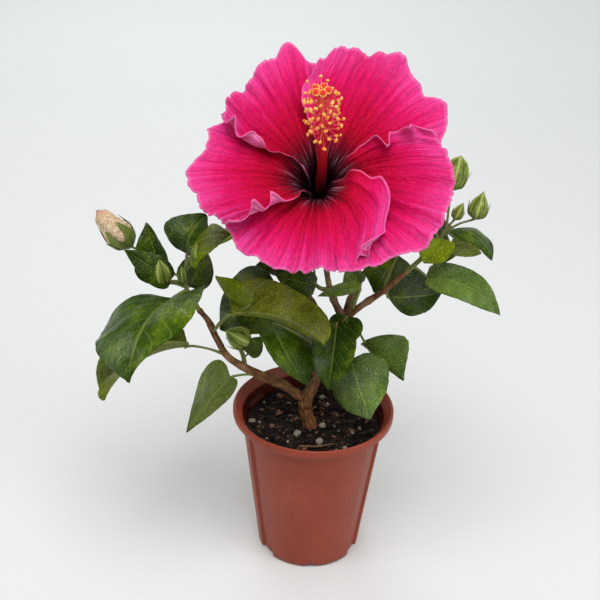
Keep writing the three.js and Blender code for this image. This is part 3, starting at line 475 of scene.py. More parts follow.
def makeSoil():
    bm = newSheet()
    edge = potRadius(soil["top"]) - pot["wall"] - 0.3
    low = pot["floor"] + 0.4
    bottom = potRadius(low) - pot["wall"] - 0.4

    def place(u, v):  # from the middle of the bottom out, up the wall and in over the top
        if v <= soil["bottomTo"]:
            radius, z = bottom * v / soil["bottomTo"], low
        elif v <= soil["wallTo"]:
            radius, z = edge, soil["top"] - 0.8
        else:
            radius, z = max(0.001, edge * (1 - v) / (1 - soil["wallTo"])), 0
        if v > soil["bottomTo"] / 2:
            relief = panelRelief(360 * u, z or soil["top"] - 0.5, True)
            radius -= min(radius, relief) * smooth(radius, 20, 40)
        point = polar(radius, 2 * math.pi * u, z)
        point.z = z or soilHeight(point.x, point.y)
        return point

    bendGrid(bm, soil["around"], soil["rings"], place, closed=True)
    bmesh.ops.recalc_face_normals(bm, faces=bm.faces)
    random = seededRun(57)
    scatterGrains(bm, random, soil["crumbs"], soil["crumbSize"], 0, 0.8, 1)
    scatterGrains(bm, random, soil["chips"], soil["chipSize"], 1, 0.28, 1)
    scatterGrains(bm, random, soil["perlite"], soil["perliteSize"], 2, 0.85, 2)
    for x, y, size in soil["largePerlite"]:
        addGrain(bm, random, x, y, size, 2, 0.75, 3)
    addRod(bm, [(-9, -30, 98.6), (3, -31, 99.6), (14, -27, 99.2)], [0.7, 0.8, 0.5], 6, 8, 1)
    finishPiece("potting_mix", bm, [peatFinish(), chipFinish(), perliteFinish()], ["soil"], "soil")


makeSoil()

# Limbs: middle points and radii from foot to tip
limbs = {
    "trunk": {
        "path": [(-1.4, -4, 90), (-2.2, -4, 98), (-5.4, -4, 110), (-5.2, -3.8, 119), (-0.3, -3, 130),
                 (9.4, 2, 155), (15.5, 6, 168), (17.8, 8, 177.5)],
        "radii": [6.6, 5.1, 4.3, 4.5, 3.4, 3, 3, 3.4],
    },
    "left_bough": {
        "path": [(-4.2, -4, 117.5), (-11, -4, 122), (-20.5, -4, 129.5), (-41.4, -6, 140.5), (-58, -8, 153),
                 (-65.5, -8, 167), (-71, -8, 180), (-76.7, -8, 187.4)],
        "radii": [3.4, 3.2, 3.3, 2.9, 2.3, 2.1, 1.9, 1.6],
    },
    "right_bough": {
        "path": [(18, 8, 176), (30, 8, 187), (43.6, 8, 198.3), (51, 8, 206), (57.5, 8, 213)],
        "radii": [2.7, 2.2, 2, 1.9, 1.6],
    },
    "back_left_bough": {
        "path": [(10, 3, 156), (2, 15, 172), (-13, 33, 191), (-23, 46, 204)],
        "radii": [2.6, 2.3, 2, 1.5],
    },
    "back_right_bough": {
        "path": [(16.6, 8, 171), (24, 24, 187), (36, 41, 202), (44, 50, 212)],
        "radii": [2.4, 2.1, 1.9, 1.5],
    },
    "bloom_stem": {
        "path": [(17, 8, 177), (11.4, 8.2, 187.4), (7.6, 8.2, 197.5), (4.6, 9, 212), (1, 11.5, 232),
                 (-2.2, 11.9, 249.3), (-2.2, 6.6, 256.1)],
        "radii": [2.7, 2.3, 1.9, 1.7, 1.6, 1.7, 1.9],
    },
}
barkDetail = {"sides": 32, "step": 0.9, "ridge": 0.24, "lump": 0.35, "collar": 0.35, "nodeSpacing": 17}


def barkFinish():
    # Young hibiscus bark: grey-brown and matt, with pale lenticels and fine cracks along the limb
    finish, add, shader, coords = newFinish("hibiscusBark", 0.8, 1.45, 0.35)
    place = coords["Object"]
    blotches = add("TexNoise", {"Vector": place, "Scale": 150, "Detail": 6, "Roughness": 0.65})
    bodyStops = {0.3: "#3a2617", 0.43: "#6e4c30", 0.55: "#9c7750", 0.72: "#c2a27c"}
    body = add("ValToRGB", {"Fac": blotches}, bodyStops)
    lenticels = add("TexVoronoi", {"Vector": place, "Scale": 420})
    speck = add("MapRange", [lenticels, 0.1, 0.24, 0.35, 0])
    colour = add("Mix", {0: speck, 6: body, 7: "#b09a82"}, data_type="RGBA")
    stretch = add("Mapping", {"Vector": coords["UV"], "Scale": (24, 5, 1)})
    cracks = add("TexNoise", {"Vector": stretch, "Scale": 2.4, "Detail": 7})
    # the oldest bark, by the soil, is fibrous and russet with black cracks
    height = add("SeparateXYZ", [place]).outputs["Z"]
    age = add("MapRange", [height, 0.112, 0.145, 0.95, 0.25])
    fibreStops = {0.38: "#1a0e07", 0.47: "#663a1d", 0.57: "#9c6536", 0.7: "#c8935a"}
    fibres = add("ValToRGB", {"Fac": cracks}, fibreStops)
    aged = add("Mix", {0: age, 6: colour, 7: fibres}, data_type="RGBA")
    bump = add("Bump", {"Height": cracks, "Strength": 0.9, "Distance": 0.002})
    plug(shader, {"Base Color": aged, "Normal": bump})
    return finish


def greenStemFinish():
    # This year's wood: green skin with a slight wax, browner in patches
    finish, add, shader, coords = newFinish("greenStemSkin", 0.5, 1.45, 0.4)
    blush = add("TexNoise", {"Vector": coords["Object"], "Scale": 90, "Detail": 5})
    skin = add("ValToRGB", {"Fac": blush}, {0.3: "#5b6b2a", 0.52: "#748040", 0.7: "#7a6444"})
    plug(shader, {"Base Color": skin})
    fineRelief(add, shader, coords, 1400, 0.2, 0.0003)
    return finish


def woodyStemFinish():
    # Half-ripe wood under the bloom: brown skin mottled with green
    stops = {0.3: "#4c3a26", 0.5: "#6b5138", 0.66: "#83704c", 0.8: "#7c7f46"}
    streaks = {"Scale": 190, "Detail": 6}
    return grainFinish("halfRipeStemSkin", (0.6, 1.45, 0.35), streaks, stops, (0.3, 0.0006))


def barkRelief(length):
    def relief(point, turn, v):
        ridges = noise.noise(Vector((math.cos(turn) * 3.2, math.sin(turn) * 3.2, v * length / 14))) * 1.6
        lumps = noise.noise(point * 0.16)
        nodes = v * length / barkDetail["nodeSpacing"]
        collar = math.exp(-((abs(nodes - round(nodes)) * barkDetail["nodeSpacing"] / 1.6) ** 2))
        return barkDetail["ridge"] * ridges + barkDetail["lump"] * lumps + barkDetail["collar"] * collar
    return relief


def pathLength(path):
    return sum((Vector(b) - Vector(a)).length for a, b in zip(path, path[1:]))


def makeLimbs():
    woody = [name for name in limbs if name != "bloom_stem"]
    pieces = [("bark", barkFinish(), woody, "bark", barkDetail["sides"], barkDetail["step"])]
    pieces.append(("bloom_stalk", woodyStemFinish(), ["bloom_stem"], "stem", 20, 1.2))
    for piece, finish, stands, slot, sides, step in pieces:
        bm = newSheet()
        for path, radii in (limbs[name].values() for name in stands):
            length = pathLength(path)
            addRod(bm, path, radii, sides, int(length / step), 0, barkRelief(length))
        finishPiece(piece, bm, [finish], stands, slot, outward=True)


makeLimbs()

# Foliage: each mass grows from its root in a limb, on a stem of its own or without one. "at" is a place from
# 0 to 1 along the limb or the stem. Stems, petioles, blades and stalks are (azimuth, elevation, length).
masses = {
    "left_crown_leaves": dict(
        on="left_bough", at=1, stem=[(180, 62, 8.1), (180, 65, 10.2), (120, 74, 8.5)],
        leaves=[
            dict(at=0.59, petiole=(235, -1, 14.4), blade=(252, -21, 68.4), width=85, roll=28, droop=62,
                 fold=5, lobe=0.19, skew=0.05, tone="waxy"),
            dict(at=0.75, petiole=(186, 1, 12.8), blade=(156, 71, 41.3), width=27, roll=-19, droop=2,
                 fold=-20, lobe=0, sway=0.03, skew=-0.12, tone="deep"),
            dict(at=0.78, petiole=(217, 21, 11.7), blade=(205, 43, 38.5), width=20, roll=-70, droop=20,
                 fold=20, tone="deep"),
            dict(at=0.95, petiole=(71, 72, 14.7), blade=(16, 65, 28.6), width=36, roll=41, droop=101,
                 fold=11, lobe=0.08, sway=0.04, full=0.72, skew=-0.09, lobeSkew=0.3, tone="deep"),
            dict(at=1, petiole=(321, 67, 16.6), blade=(333, 36, 35.7), width=31, roll=32, droop=91, fold=-6,
                 lobe=0, sway=-0.03, full=0.71, skew=0.08, tone="olive"),
            dict(at=0.7, petiole=(80, -30, 11.5), blade=(44, 60, 27), width=24, roll=52, droop=20,
                 tone="deep"),
        ],
        buds=[
            dict(at=0.65, stalk=(203, 23, 16.5), axis=(246, 77), length=19.4, width=13),
            dict(at=1, stalk=(301, 43, 26.4), axis=(0, 89), length=12.4, width=6.5),
            dict(at=0.75, stalk=(264, 40, 6), axis=(248, 81), length=12, width=5),
            dict(at=0.8, stalk=(160, 25, 42), axis=(198, 53), length=33, width=17, kind="withered"),
        ],
        fill=dict(seed=11, count=3, facing=95, arc=90, chord=44),
    ),
    "left_side_leaf": dict(
        on="left_bough", at=0.585,
        leaves=[
            dict(petiole=(189, 18, 26), blade=(196, -30, 66), width=54, roll=-11, droop=82, fold=57, lobe=0,
                 sway=-0.02, skew=-0.06, tone="olive"),
        ],
    ),
    "lower_left_leaf": dict(
        on="left_bough", at=0.4,
        leaves=[
            dict(petiole=(203, 6, 20.3), blade=(178, -50, 53.2), width=52, roll=105, droop=2, fold=60,
                 lobe=0, sway=0.12, full=0.77, skew=-0.26, tone="sage"),
        ],
    ),
    "left_shoot": dict(
        on="left_bough", at=0.47, stem=[(110, 55, 8), (165, 65, 10)],
        leaves=[
            dict(at=0.4, petiole=(60, 10, 5), blade=(34, 43, 14.8), width=14, roll=49),
        ],
        buds=[
            dict(at=1, stalk=(323, 27, 9.7), axis=(202, 37), length=19, width=15),
        ],
    ),
    "centre_leaf": dict(
        on="left_bough", at=0.764,
        leaves=[
            dict(petiole=(302, 46, 33.8), blade=(347, -15, 61.9), width=42, roll=-84, droop=100, fold=43,
                 sway=0.08, full=0.45, skew=0.1, lobeSkew=-0.4, tone="olive"),
            dict(petiole=(318, 45, 46.4), blade=(165, 36, 27.4), width=17, roll=-86, droop=9, fold=-20,
                 lobe=0.29, full=0.73, skew=-0.06, tone="olive"),
        ],
    ),
    "centre_back_leaf": dict(
        on="trunk", at=0.8,
        leaves=[
            dict(petiole=(163, 36, 53), blade=(186, -41, 50), width=46, roll=-55, droop=20, fold=6,
                 tone="deep"),
        ],
    ),
    "front_leaves": dict(
        on="trunk", at=0.714, stem=[(250, 10, 7.5), (310, 60, 10), (60, 60, 8)],
        leaves=[
            dict(at=0.34, petiole=(172, 27, 40.8), blade=(298, -55, 46.3), width=40, roll=-11, droop=24,
                 fold=6, lobe=0.3, sway=-0.35, full=0.85, skew=-0.2, lobeSkew=0.6),
            dict(at=0.8, petiole=(63, 70, 12.8), blade=(256, -69, 46.3), width=30, roll=-11, fold=15,
                 tone="deep"),
            dict(at=1, petiole=(32, 50, 14), blade=(249, -61, 22.1), width=24, roll=-3, tone="deep"),
        ],
    ),
    "low_right_leaves": dict(
        on="trunk", at=0.93, stem=[(0, -5, 5), (0, -25, 3)],
        leaves=[
            dict(at=0.8, petiole=(270, -78, 24.2), blade=(288, -29, 45.9), width=48, roll=42, droop=26,
                 fold=-20, sway=-0.02, full=0.77, skew=0.03, lobeSkew=-0.37, tone="sage"),
            dict(at=1, petiole=(31, -57, 17.3), blade=(347, -44, 38.7), width=44, roll=118, droop=2,
                 fold=-20, lobe=0.01, sway=-0.03, full=0.85, skew=-0.07, tone="sage"),
        ],
    ),
    "fork_leaves": dict(
        on="right_bough", at=0.1, stem=[(20, 78, 9), (20, 70, 9)],
        leaves=[
            dict(at=0.9, petiole=(271, 49, 10.8), blade=(181, -18, 28.6), width=9, roll=-50, tone="fresh"),
            dict(at=0.6, petiole=(128, 70, 6), blade=(163, 62, 14.5), width=11, roll=-64, tone="fresh"),
            dict(at=1, petiole=(80, 30, 4), blade=(129, 30, 14.8), width=11, roll=-40),
        ],
    ),
    "under_bloom_leaves": dict(
        on="bloom_stem", at=0.333, stem=[(200, 10, 6), (150, 20, 6)],
        leaves=[
            dict(at=0.6, petiole=(150, 5, 3), blade=(172, 10, 27), width=19, roll=-60, tone="deep"),
            dict(at=1, petiole=(92, 48, 16.4), blade=(163, -17, 42.6), width=22, roll=-69, tone="deep"),
        ],
    ),
    "back_left_leaves": dict(
        on="back_left_bough", at=1, stem=[(130, 50, 9), (125, 60, 9), (120, 70, 8)],
        fill=dict(seed=5, count=8, facing=110, arc=330),
    ),
    "back_right_leaves": dict(
        on="back_right_bough", at=1, stem=[(50, 50, 9), (55, 60, 9), (60, 70, 8)],
        fill=dict(seed=8, count=8, facing=60, arc=330),
    ),
    "low_back_leaves": dict(
        on="trunk", at=0.6, stem=[(110, 20, 6), (110, 40, 6)],
        fill=dict(seed=21, count=4, facing=105, arc=100, chord=46, petiole=22),
    ),
    "right_crown_leaves": dict(
        on="right_bough", at=1, stem=[(0, 48, 8.8), (10, 46.5, 16), (19, 58.6, 11.6)],
        leaves=[
            dict(at=0.17, petiole=(348, -32, 11.2), blade=(353, -25, 54.7), width=26, roll=33, droop=96,
                 fold=8, lobe=0.18, full=0.71, tone="sage"),
            dict(at=0.66, petiole=(303, 46, 10), blade=(178, -64, 20.6), width=26, roll=-89, droop=14,
                 fold=35, lobe=0.15, sway=0.08, skew=0.17, lobeSkew=-1, tone="young"),
            dict(at=0.98, petiole=(316, 26, 6), blade=(325, -24, 31.9), width=24, droop=102, fold=-9,
                 lobe=0, sway=-0.03, full=0.57, skew=-0.24, tone="deep"),
            dict(at=0.95, petiole=(5, -62, 10.5), blade=(0, -4, 20.4), width=13, roll=-104, sway=-0.17,
                 full=0.6, tone="young"),
        ],
        buds=[
            dict(at=1, stalk=(63, 85, 27), axis=(25, 78), length=22.5, width=14.5, kind="blunt"),
            dict(at=0.97, stalk=(0, 28, 20.4), axis=(0, 79), length=19, width=12),
            dict(at=0.99, stalk=(0, 58, 9.2), axis=(0, 69), length=12.7, width=7),
        ],
        fill=dict(seed=17, count=4, facing=118, arc=120, chord=44),
    ),
    "right_inner_leaves": dict(
        on="right_bough", at=0.5, stem=[(75, 30, 5), (75, 40, 4)],
        leaves=[
            dict(at=0.5, petiole=(25, -80, 10.8), blade=(346, 15, 36.6), width=42, roll=92, fold=-20,
                 lobe=0, tone="deep"),
            dict(at=1, petiole=(27, 67, 16.4), blade=(150, -63, 35.3), width=36, roll=-90),
        ],
    ),
}
foliage = {
    "grid": (16, 26), "smallGrid": (8, 14), "smallBelow": 28, "thickness": 0.32, "tipNarrowing": 0.3,
    "leastWidth": 0.025, "cup": 0.25, "sideVeins": 6, "veinSlant": 0.34, "pucker": 0.02, "groove": 0.012,
    "teeth": 9, "toothDepth": 0.035, "wave": 0.03, "lastLeaf": 0.55, "petioleRadius": 1, "petioleSag": 0.06,
    "stemRadius": 1.7, "golden": 137.5,
    "back": ["back_left_leaves", "back_right_leaves", "low_back_leaves"],
}
# Upper and lower colour of each tone of leaf. The listed leaves were given the tone that matches their
# brightness where they sit, so besides the leaves' own colour the darker tones partly carry painted shade
# and the paler ones painted light.
tones = {
    "deep": ("#314914", "#586830"),
    "waxy": ("#3a5312", "#62732e"),
    "mid": ("#456017", "#67772f"),
    "fresh": ("#587619", "#718231"),
    "olive": ("#62721c", "#757d2c"),
    "sage": ("#637d3d", "#778847"),
    "young": ("#84962c", "#8c9740"),
}


def leafFinish(name, colour, roughness, veinColour, veinBump):
    # Hibiscus leaf: a cuticle that is waxy in patches over a quilted blade, with paler sunken veins; the
    # underside is matt and paler
    finish, add, shader, coords = newFinish(name, roughness, 1.45)
    place = coords["Object"]
    uv = add("SeparateXYZ", [coords["UV"]]).outputs
    centred = add("Math", [uv["X"], 0.5], operation="SUBTRACT")
    fromRib = add("Math", [centred], operation="ABSOLUTE")
    slant = add("Math", [fromRib, -2 * foliage["veinSlant"], uv["Y"]], operation="MULTIPLY_ADD")
    sideVein = stripes(add, slant, foliage["sideVeins"], 0.015, 0.07, 0.5)
    midrib = add("MapRange", [fromRib, 0.008, 0.03, 1, 0])
    veins = add("Math", [sideVein, midrib], operation="MAXIMUM")
    blotches = add("TexNoise", {"Vector": place, "Scale": 60, "Detail": 7, "Roughness": 0.68})
    yellowing = add("MapRange", [blotches, 0.5, 0.72, 0, 0.45])
    tinted = add("Mix", {0: yellowing, 6: colour, 7: "#7f8a2a"}, data_type="RGBA")
    # the finest veins close into cells, drawn out of true by a noise; each cell is painted darker at its
    # sunken edge and lighter on its raised top, painted shade and light for the quilting
    waver = add("TexNoise", {"Vector": place, "Scale": 300, "Detail": 2}).outputs["Color"]
    bent = add("VectorMath", [waver, (0.003, 0.003, 0.003), place], operation="MULTIPLY_ADD")
    cells = add("TexVoronoi", {"Vector": bent, "Scale": 430}, feature="DISTANCE_TO_EDGE")
    cellShade = add("MapRange", [cells, 0, 0.35, 0.72, 1.2])
    lightness = add("MapRange", [blotches, 0.3, 0.7, 0.55, 1.5])
    value = add("Math", [lightness, cellShade], operation="MULTIPLY")
    shade = add("HueSaturation", {"Color": tinted, "Saturation": 1.05, "Value": value})
    veinMix = add("Math", [veins, 0.45], operation="MULTIPLY")
    coloured = add("Mix", {0: veinMix, 6: shade, 7: veinColour}, data_type="RGBA")
    wax = add("TexNoise", {"Vector": place, "Scale": 42, "Detail": 3})
    gloss = add("MapRange", [wax, 0.46, 0.64, 0.05, 0.8])
    quilt = add("Math", [cells, 2.2, veins], operation="MULTIPLY_ADD")
    relief = add("Math", [blotches, 2.6, quilt], operation="MULTIPLY_ADD")
    bump = add("Bump", {"Height": relief, "Strength": 0.9, "Distance": veinBump})
    plug(shader, {"Base Color": coloured, "Specular IOR Level": gloss, "Normal": bump})
    return finish


def leafOutline(v, full):
    swell = max(math.sin(math.pi * min(v, 1) ** 0.7), 0) ** full
    return max(foliage["leastWidth"], swell * (1 - foliage["tipNarrowing"] * v ** 6))


# fold: rise of each half from the midrib; droop: bend along it; lobe: how far the halves reach back past
# the petiole; full: lower where the blade keeps its width for longer; skew: more width on one side; sway:
# sideways curl of the tip
plainLeaf = {
    "roll": 0, "fold": 0, "droop": 30, "lobe": 0.16, "lobeSkew": 0, "full": 0.75, "skew": 0, "sway": 0,
    "tone": "mid",
}


def addBlade(bm, foot, shape):
    azimuth, elevation, chord = shape["blade"]
    width = shape["width"]
    bendAngle = math.radians(max(shape["droop"], 1))
    bendRadius = chord / 2 / math.sin(bendAngle / 2)
    run = pointing(azimuth, elevation)
    level = (Vector((0, 0, 1)) - run * run.z).normalized()
    face = around(level, run.cross(level), math.radians(shape["roll"]))
    across = run.cross(face)
    folded = math.radians(shape["fold"])
    phase = (azimuth * 7 + elevation * 3 + chord) % 6.28

    def place(u, v):
        a = 2 * u - 1
        side = math.copysign(1, a)
        outline = leafOutline(v, shape["full"]) * (1 + shape["skew"] * side)
        edge = abs(a) ** 3
        tooth = (v * foliage["teeth"] + 0.1 * math.sin(phase)) % 1
        outline *= 1 - foliage["toothDepth"] * edge * tooth * smooth(v, 0.2, 0.5)
        out = a * width / 2 * outline
        lobed = shape["lobe"] * (1 + shape["lobeSkew"] * side)
        back = lobed * width * a * a * (1 - v) ** 2 * leafOutline(v, shape["full"])
        fromVein = ((v - foliage["veinSlant"] * abs(a)) * foliage["sideVeins"]) % 1
        quilt = math.sin(math.pi * fromVein) ** 0.7 * smooth(abs(a), 0, 0.25) * (1 - 0.6 * edge)
        rib = math.exp(-((a * outline / 0.06) ** 2))
        wave = foliage["wave"] * width * a * a * math.sin(11 * v + phase + (1.7 if a > 0 else 0))
        rise = abs(out) * math.sin(folded) - foliage["cup"] * out * out / width
        rise += width * (foliage["pucker"] * quilt - foliage["groove"] * rib) + wave
        reach = bendAngle * (v - 0.5)
        ahead = bendRadius * (math.sin(reach) + math.sin(bendAngle / 2)) + rise * math.sin(reach) - back
        over = rise * math.cos(reach) + bendRadius * (math.cos(reach) - math.cos(bendAngle / 2))
        aside = out * math.cos(folded) + chord * shape["sway"] * v * v
        return foot + across * aside + run * ahead + face * over

    grid = foliage["smallGrid" if chord < foliage["smallBelow"] else "grid"]
    bendGrid(bm, *grid, place, list(tones).index(shape["tone"]))


def addLeaf(sheets, stalks, root, shape):
    petioleAzimuth, petioleElevation, petioleLength = shape["petiole"]
    azimuth, elevation, chord = shape["blade"]
    foot = root + pointing(petioleAzimuth, petioleElevation) * petioleLength
    middle = (root + foot) / 2 + Vector((0, 0, petioleLength * foliage["petioleSag"]))
    inBlade = foot + pointing(azimuth, elevation) * chord * 0.05
    radius = foliage["petioleRadius"] * (0.75 if chord < foliage["smallBelow"] else 1)
    radii = [radius * share for share in (1.25, 0.8, 0.9, 0.4)]
    addRod(stalks, [root, middle, foot, inBlade], radii, 8, 14)
    addBlade(sheets, foot, {**plainLeaf, **shape})


def whorl(seed, count, facing, arc, petiole=18, chord=50):
    random = seededRun(seed)
    leaves = []
    for i in range(count):
        t = i / max(1, count - 1)
        azimuth = facing + arc * ((foliage["golden"] * i / 360) % 1) - arc / 2
        size = mix(1, foliage["lastLeaf"], t)
        tilt = mix(-42, 18, t)
        leaves.append({
            "at": mix(0.3, 1, t),
            "petiole": (azimuth, 10 + 45 * t + 10 * next(random), petiole * size),
            "blade": (azimuth + 24 * (next(random) - 0.5), tilt + 12 * next(random), chord * size),
            "width": chord * size * (0.68 + 0.12 * next(random)),
            "roll": 36 * (next(random) - 0.5),
            "fold": 8 + 12 * next(random),
            "droop": 30 + 30 * next(random),
            "tone": ("deep", "mid", "fresh")[i % 3] if t < 0.8 else "young",
        })
    return leaves


budShape = {
    "sides": 20, "rows": 18, "ribs": 5, "ribHeight": 0.09,
    "pointed": [0.3, 0.84, 1, 1, 0.95, 0.82, 0.58, 0.27, 0.03],
    "blunt": [0.25, 0.8, 0.95, 0.97, 1, 0.98, 0.86, 0.6, 0.04],
    "withered": [0.28, 0.8, 0.97, 1, 0.92, 0.8, 0.68, 0.55, 0.1],
    "bracts": 8, "bractLength": 0.6, "lobes": (0.3, 0.66),
}


def addBud(buds, stalks, root, shape):
    azimuth, elevation, reach = shape["stalk"]
    foot = root + pointing(azimuth, elevation) * reach
    run = pointing(*shape["axis"])
    side = run.orthogonal().normalized()
    other = run.cross(side)
    length, width, kind = shape["length"], shape["width"], shape.get("kind", "pointed")
    spent, profile = kind == "withered", budShape[kind]
    bend = (root + foot) / 2 + Vector((0, 0, reach * 0.05))
    addRod(stalks, [root, bend, foot, foot + run * length * 0.1], [0.9, 0.7, 0.85, 1.1], 8, 12)

    def onBud(angle, v, radius):
        return foot + run * length * v + around(side, other, angle) * radius

    def skin(u, v):
        angle = 2 * math.pi * u
        ribs = 1 + budShape["ribHeight"] * math.cos(budShape["ribs"] * angle)
        if spent:
            furled = 0.09 * math.cos(5 * angle + 6 * v) + 0.05 * math.sin(13 * angle - 4 * v)
            ribs = 1 + smooth(v, 0.2, 0.4) * furled
        return onBud(angle, v, width / 2 * smoothAlong(profile, v) * ribs)

    def cup(u, v):
        angle = 2 * math.pi * u
        lobe = (0.5 + 0.5 * math.cos(5 * angle)) ** 1.6
        upTo = v * mix(*budShape["lobes"], lobe)
        return onBud(angle, upTo, width / 2 * (smoothAlong(profile, upTo) + 0.05 + 0.1 * v ** 3))

    bendGrid(buds, budShape["sides"], budShape["rows"], skin, 2 if spent else 0, closed=True)
    if spent:  # the green calyx holds the withered petals
        bendGrid(buds, 60, 16, cup, 1, closed=True)
    bract = budShape["bractLength"] * (0.55 if spent else 1)
    for i in range(budShape["bracts"]):  # the epicalyx: a ring of narrow bracts at the foot
        angle = 2 * math.pi * (i + 0.3) / budShape["bracts"]
        wide = run.cross(around(side, other, angle))

        def strip(u, v):
            flare = smoothAlong(profile, bract * v + 0.02) + 0.08 + 0.3 * v ** 3
            half = max(0.05, width * 0.07 * math.sin(math.pi * min(1, 0.25 + 0.75 * v)))
            return onBud(angle, bract * v + 0.02, width / 2 * flare) + wide * (2 * u - 1) * half
        bendGrid(buds, 2, 6, strip, 1)


def massTwig(root, stem):
    points = [Vector(root)]
    for azimuth, elevation, length in stem:
        points.append(points[-1] + pointing(azimuth, elevation) * length)
    return points


def leafTip(root, shape):
    azimuth, elevation, length = shape["petiole"]
    bladeAzimuth, bladeElevation, chord = shape["blade"]
    return root + pointing(azimuth, elevation) * length + pointing(bladeAzimuth, bladeElevation) * chord


def makeFoliage():
    frontSheets, backSheets, stalks, buds = newSheet(), newSheet(), newSheet(), newSheet()
    count = 0
    for name, mass in masses.items():
        root = curvePoint(limbs[mass["on"]]["path"], mass["at"])
        twig = massTwig(root, mass["stem"]) if "stem" in mass else None
        if twig:
            addRod(stalks, twig, [foliage["stemRadius"] * share for share in (1, 0.9, 0.75)], 10, 24)
        rooted = [(curvePoint(twig, leaf["at"]) if twig else root, leaf) for leaf in mass.get("leaves", [])]
        for bud in mass.get("buds", []):
            addBud(buds, stalks, curvePoint(twig, bud["at"]), bud)
        if "fill" in mass:  # the seeded leaves that the solid mass found room for
            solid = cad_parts[name]
            shell = BVHTree.FromPolygons(
                [solid.matrix_world @ vert.co for vert in solid.data.vertices],
                [tuple(face.vertices) for face in solid.data.polygons],
            )
            for leaf in whorl(**mass["fill"]):
                foot = curvePoint(twig, leaf["at"])
                tip = leafTip(foot, leaf) / 1000
                if (shell.find_nearest(tip)[0] - tip).length < 0.002:
                    rooted.append((foot, leaf))
        for foot, leaf in rooted:
            addLeaf(backSheets if name in foliage["back"] else frontSheets, stalks, foot, leaf)
        count += len(rooted)
    print("leaves:", count)
    finishes = []
    sides = (("Upper", 0.28, "#93a34c", 0.0007), ("Under", 0.6, "#a3ad66", 0.0009))
    for side, (part, *surface) in enumerate(sides):
        finishes += [leafFinish(f"{tone}Leaf{part}", pair[side], *surface) for tone, pair in tones.items()]
    front = [name for name in masses if name not in foliage["back"]]
    wall = foliage["thickness"]
    finishPiece("leaves_front", frontSheets, finishes, front, "leaf", len(tones), wall)
    finishPiece("leaves_back", backSheets, finishes, foliage["back"], "leaf", len(tones), wall)
    finishPiece("twigs", stalks, [greenStemFinish()], list(masses), "stem", outward=True)
    withBuds = [name for name, mass in masses.items() if "buds" in mass]
    finishPiece("buds", buds, [budFinish(), bractFinish(), witheredFinish()], withBuds, "calyx")


def budFinish():
    # Closed calyx: firm green skin with a fine down, pale ribs and five darker seams
    finish, add, shader, coords = newFinish("downyCalyxGreen", 0.55, 1.45, 0.35)
    mottle = add("TexNoise", {"Vector": coords["Object"], "Scale": 240, "Detail": 4})
    skin = add("ValToRGB", {"Fac": mottle}, {0.3: "#56681c", 0.52: "#738432", 0.74: "#98a44c"})
    girth = add("SeparateXYZ", [coords["UV"]]).outputs["X"]
    seam = stripes(add, girth, budShape["ribs"], 0.5, 0.34, 0.9)
    seamed = add("Mix", {0: seam, 6: skin, 7: "#2c3a0c"}, data_type="RGBA")
    rib = stripes(add, girth, budShape["ribs"], 0.02, 0.14, 0.8)
    ribbed = add("Mix", {0: rib, 6: seamed, 7: "#b0b86c"}, data_type="RGBA")
    plug(shader, {"Base Color": ribbed})
    fineRelief(add, shader, coords, 2600, 0.25, 0.0003)
    return finish


def bractFinish():
    # Bracts and open calyx lobes: soft green, paler and yellower in places
    stops = {0.3: "#566a22", 0.55: "#74813a", 0.8: "#8e8f50"}
    return grainFinish("bractGreen", (0.6, 1.45, 0.35), {"Scale": 160, "Detail": 4}, stops)


def witheredFinish():
    # Withered petals: papery and cream, with tan folds and a faded red tip
    finish, add, shader, coords = newFinish("witheredPetal", 0.75, 1.45, 0.3)
    drawn = add("Mapping", {"Vector": coords["UV"], "Scale": (26, 3, 1)})
    folds = add("TexNoise", {"Vector": drawn, "Detail": 6, "Distortion": 0.4})
    stops = {0.36: "#8a5a3a", 0.46: "#c9a478", 0.56: "#e8d8b6", 0.7: "#f4ead2"}
    paper = add("ValToRGB", {"Fac": folds}, stops)
    lengthwise = add("SeparateXYZ", [coords["UV"]]).outputs["Y"]
    blush = add("MapRange", [lengthwise, 0.8, 1, 0, 0.55])
    blushed = add("Mix", {0: blush, 6: paper, 7: "#a8695a"}, data_type="RGBA")
    bump = add("Bump", {"Height": folds, "Strength": 0.5, "Distance": 0.0008})
    plug(shader, {"Base Color": blushed, "Normal": bump})
    return finish


makeFoliage()

# Bloom: its own frame has Z along the corolla's axis and Y away from the pot's front
bloom = {
    "centre": (-2.2, -12, 279.9), "elevation": 52, "reach": 80, "columns": 96, "rows": 72, "thickness": 0.45,
    "profile": [(4.2, -24), (4.2, 2), (22, 19), (80, 22)], "footAngle": 34, "halfAngle": 44, "spreadAt": 0.4,
    "tilt": 1.5, "ruffle": 2.5, "waves": 3.4, "frill": 1.6, "frills": 8.5, "scallop": 1.2, "pleat": 0.6,
    "pleats": 19, "crumple": 1.1, "flipFrom": 0.74, "flipBend": 0.45,
}
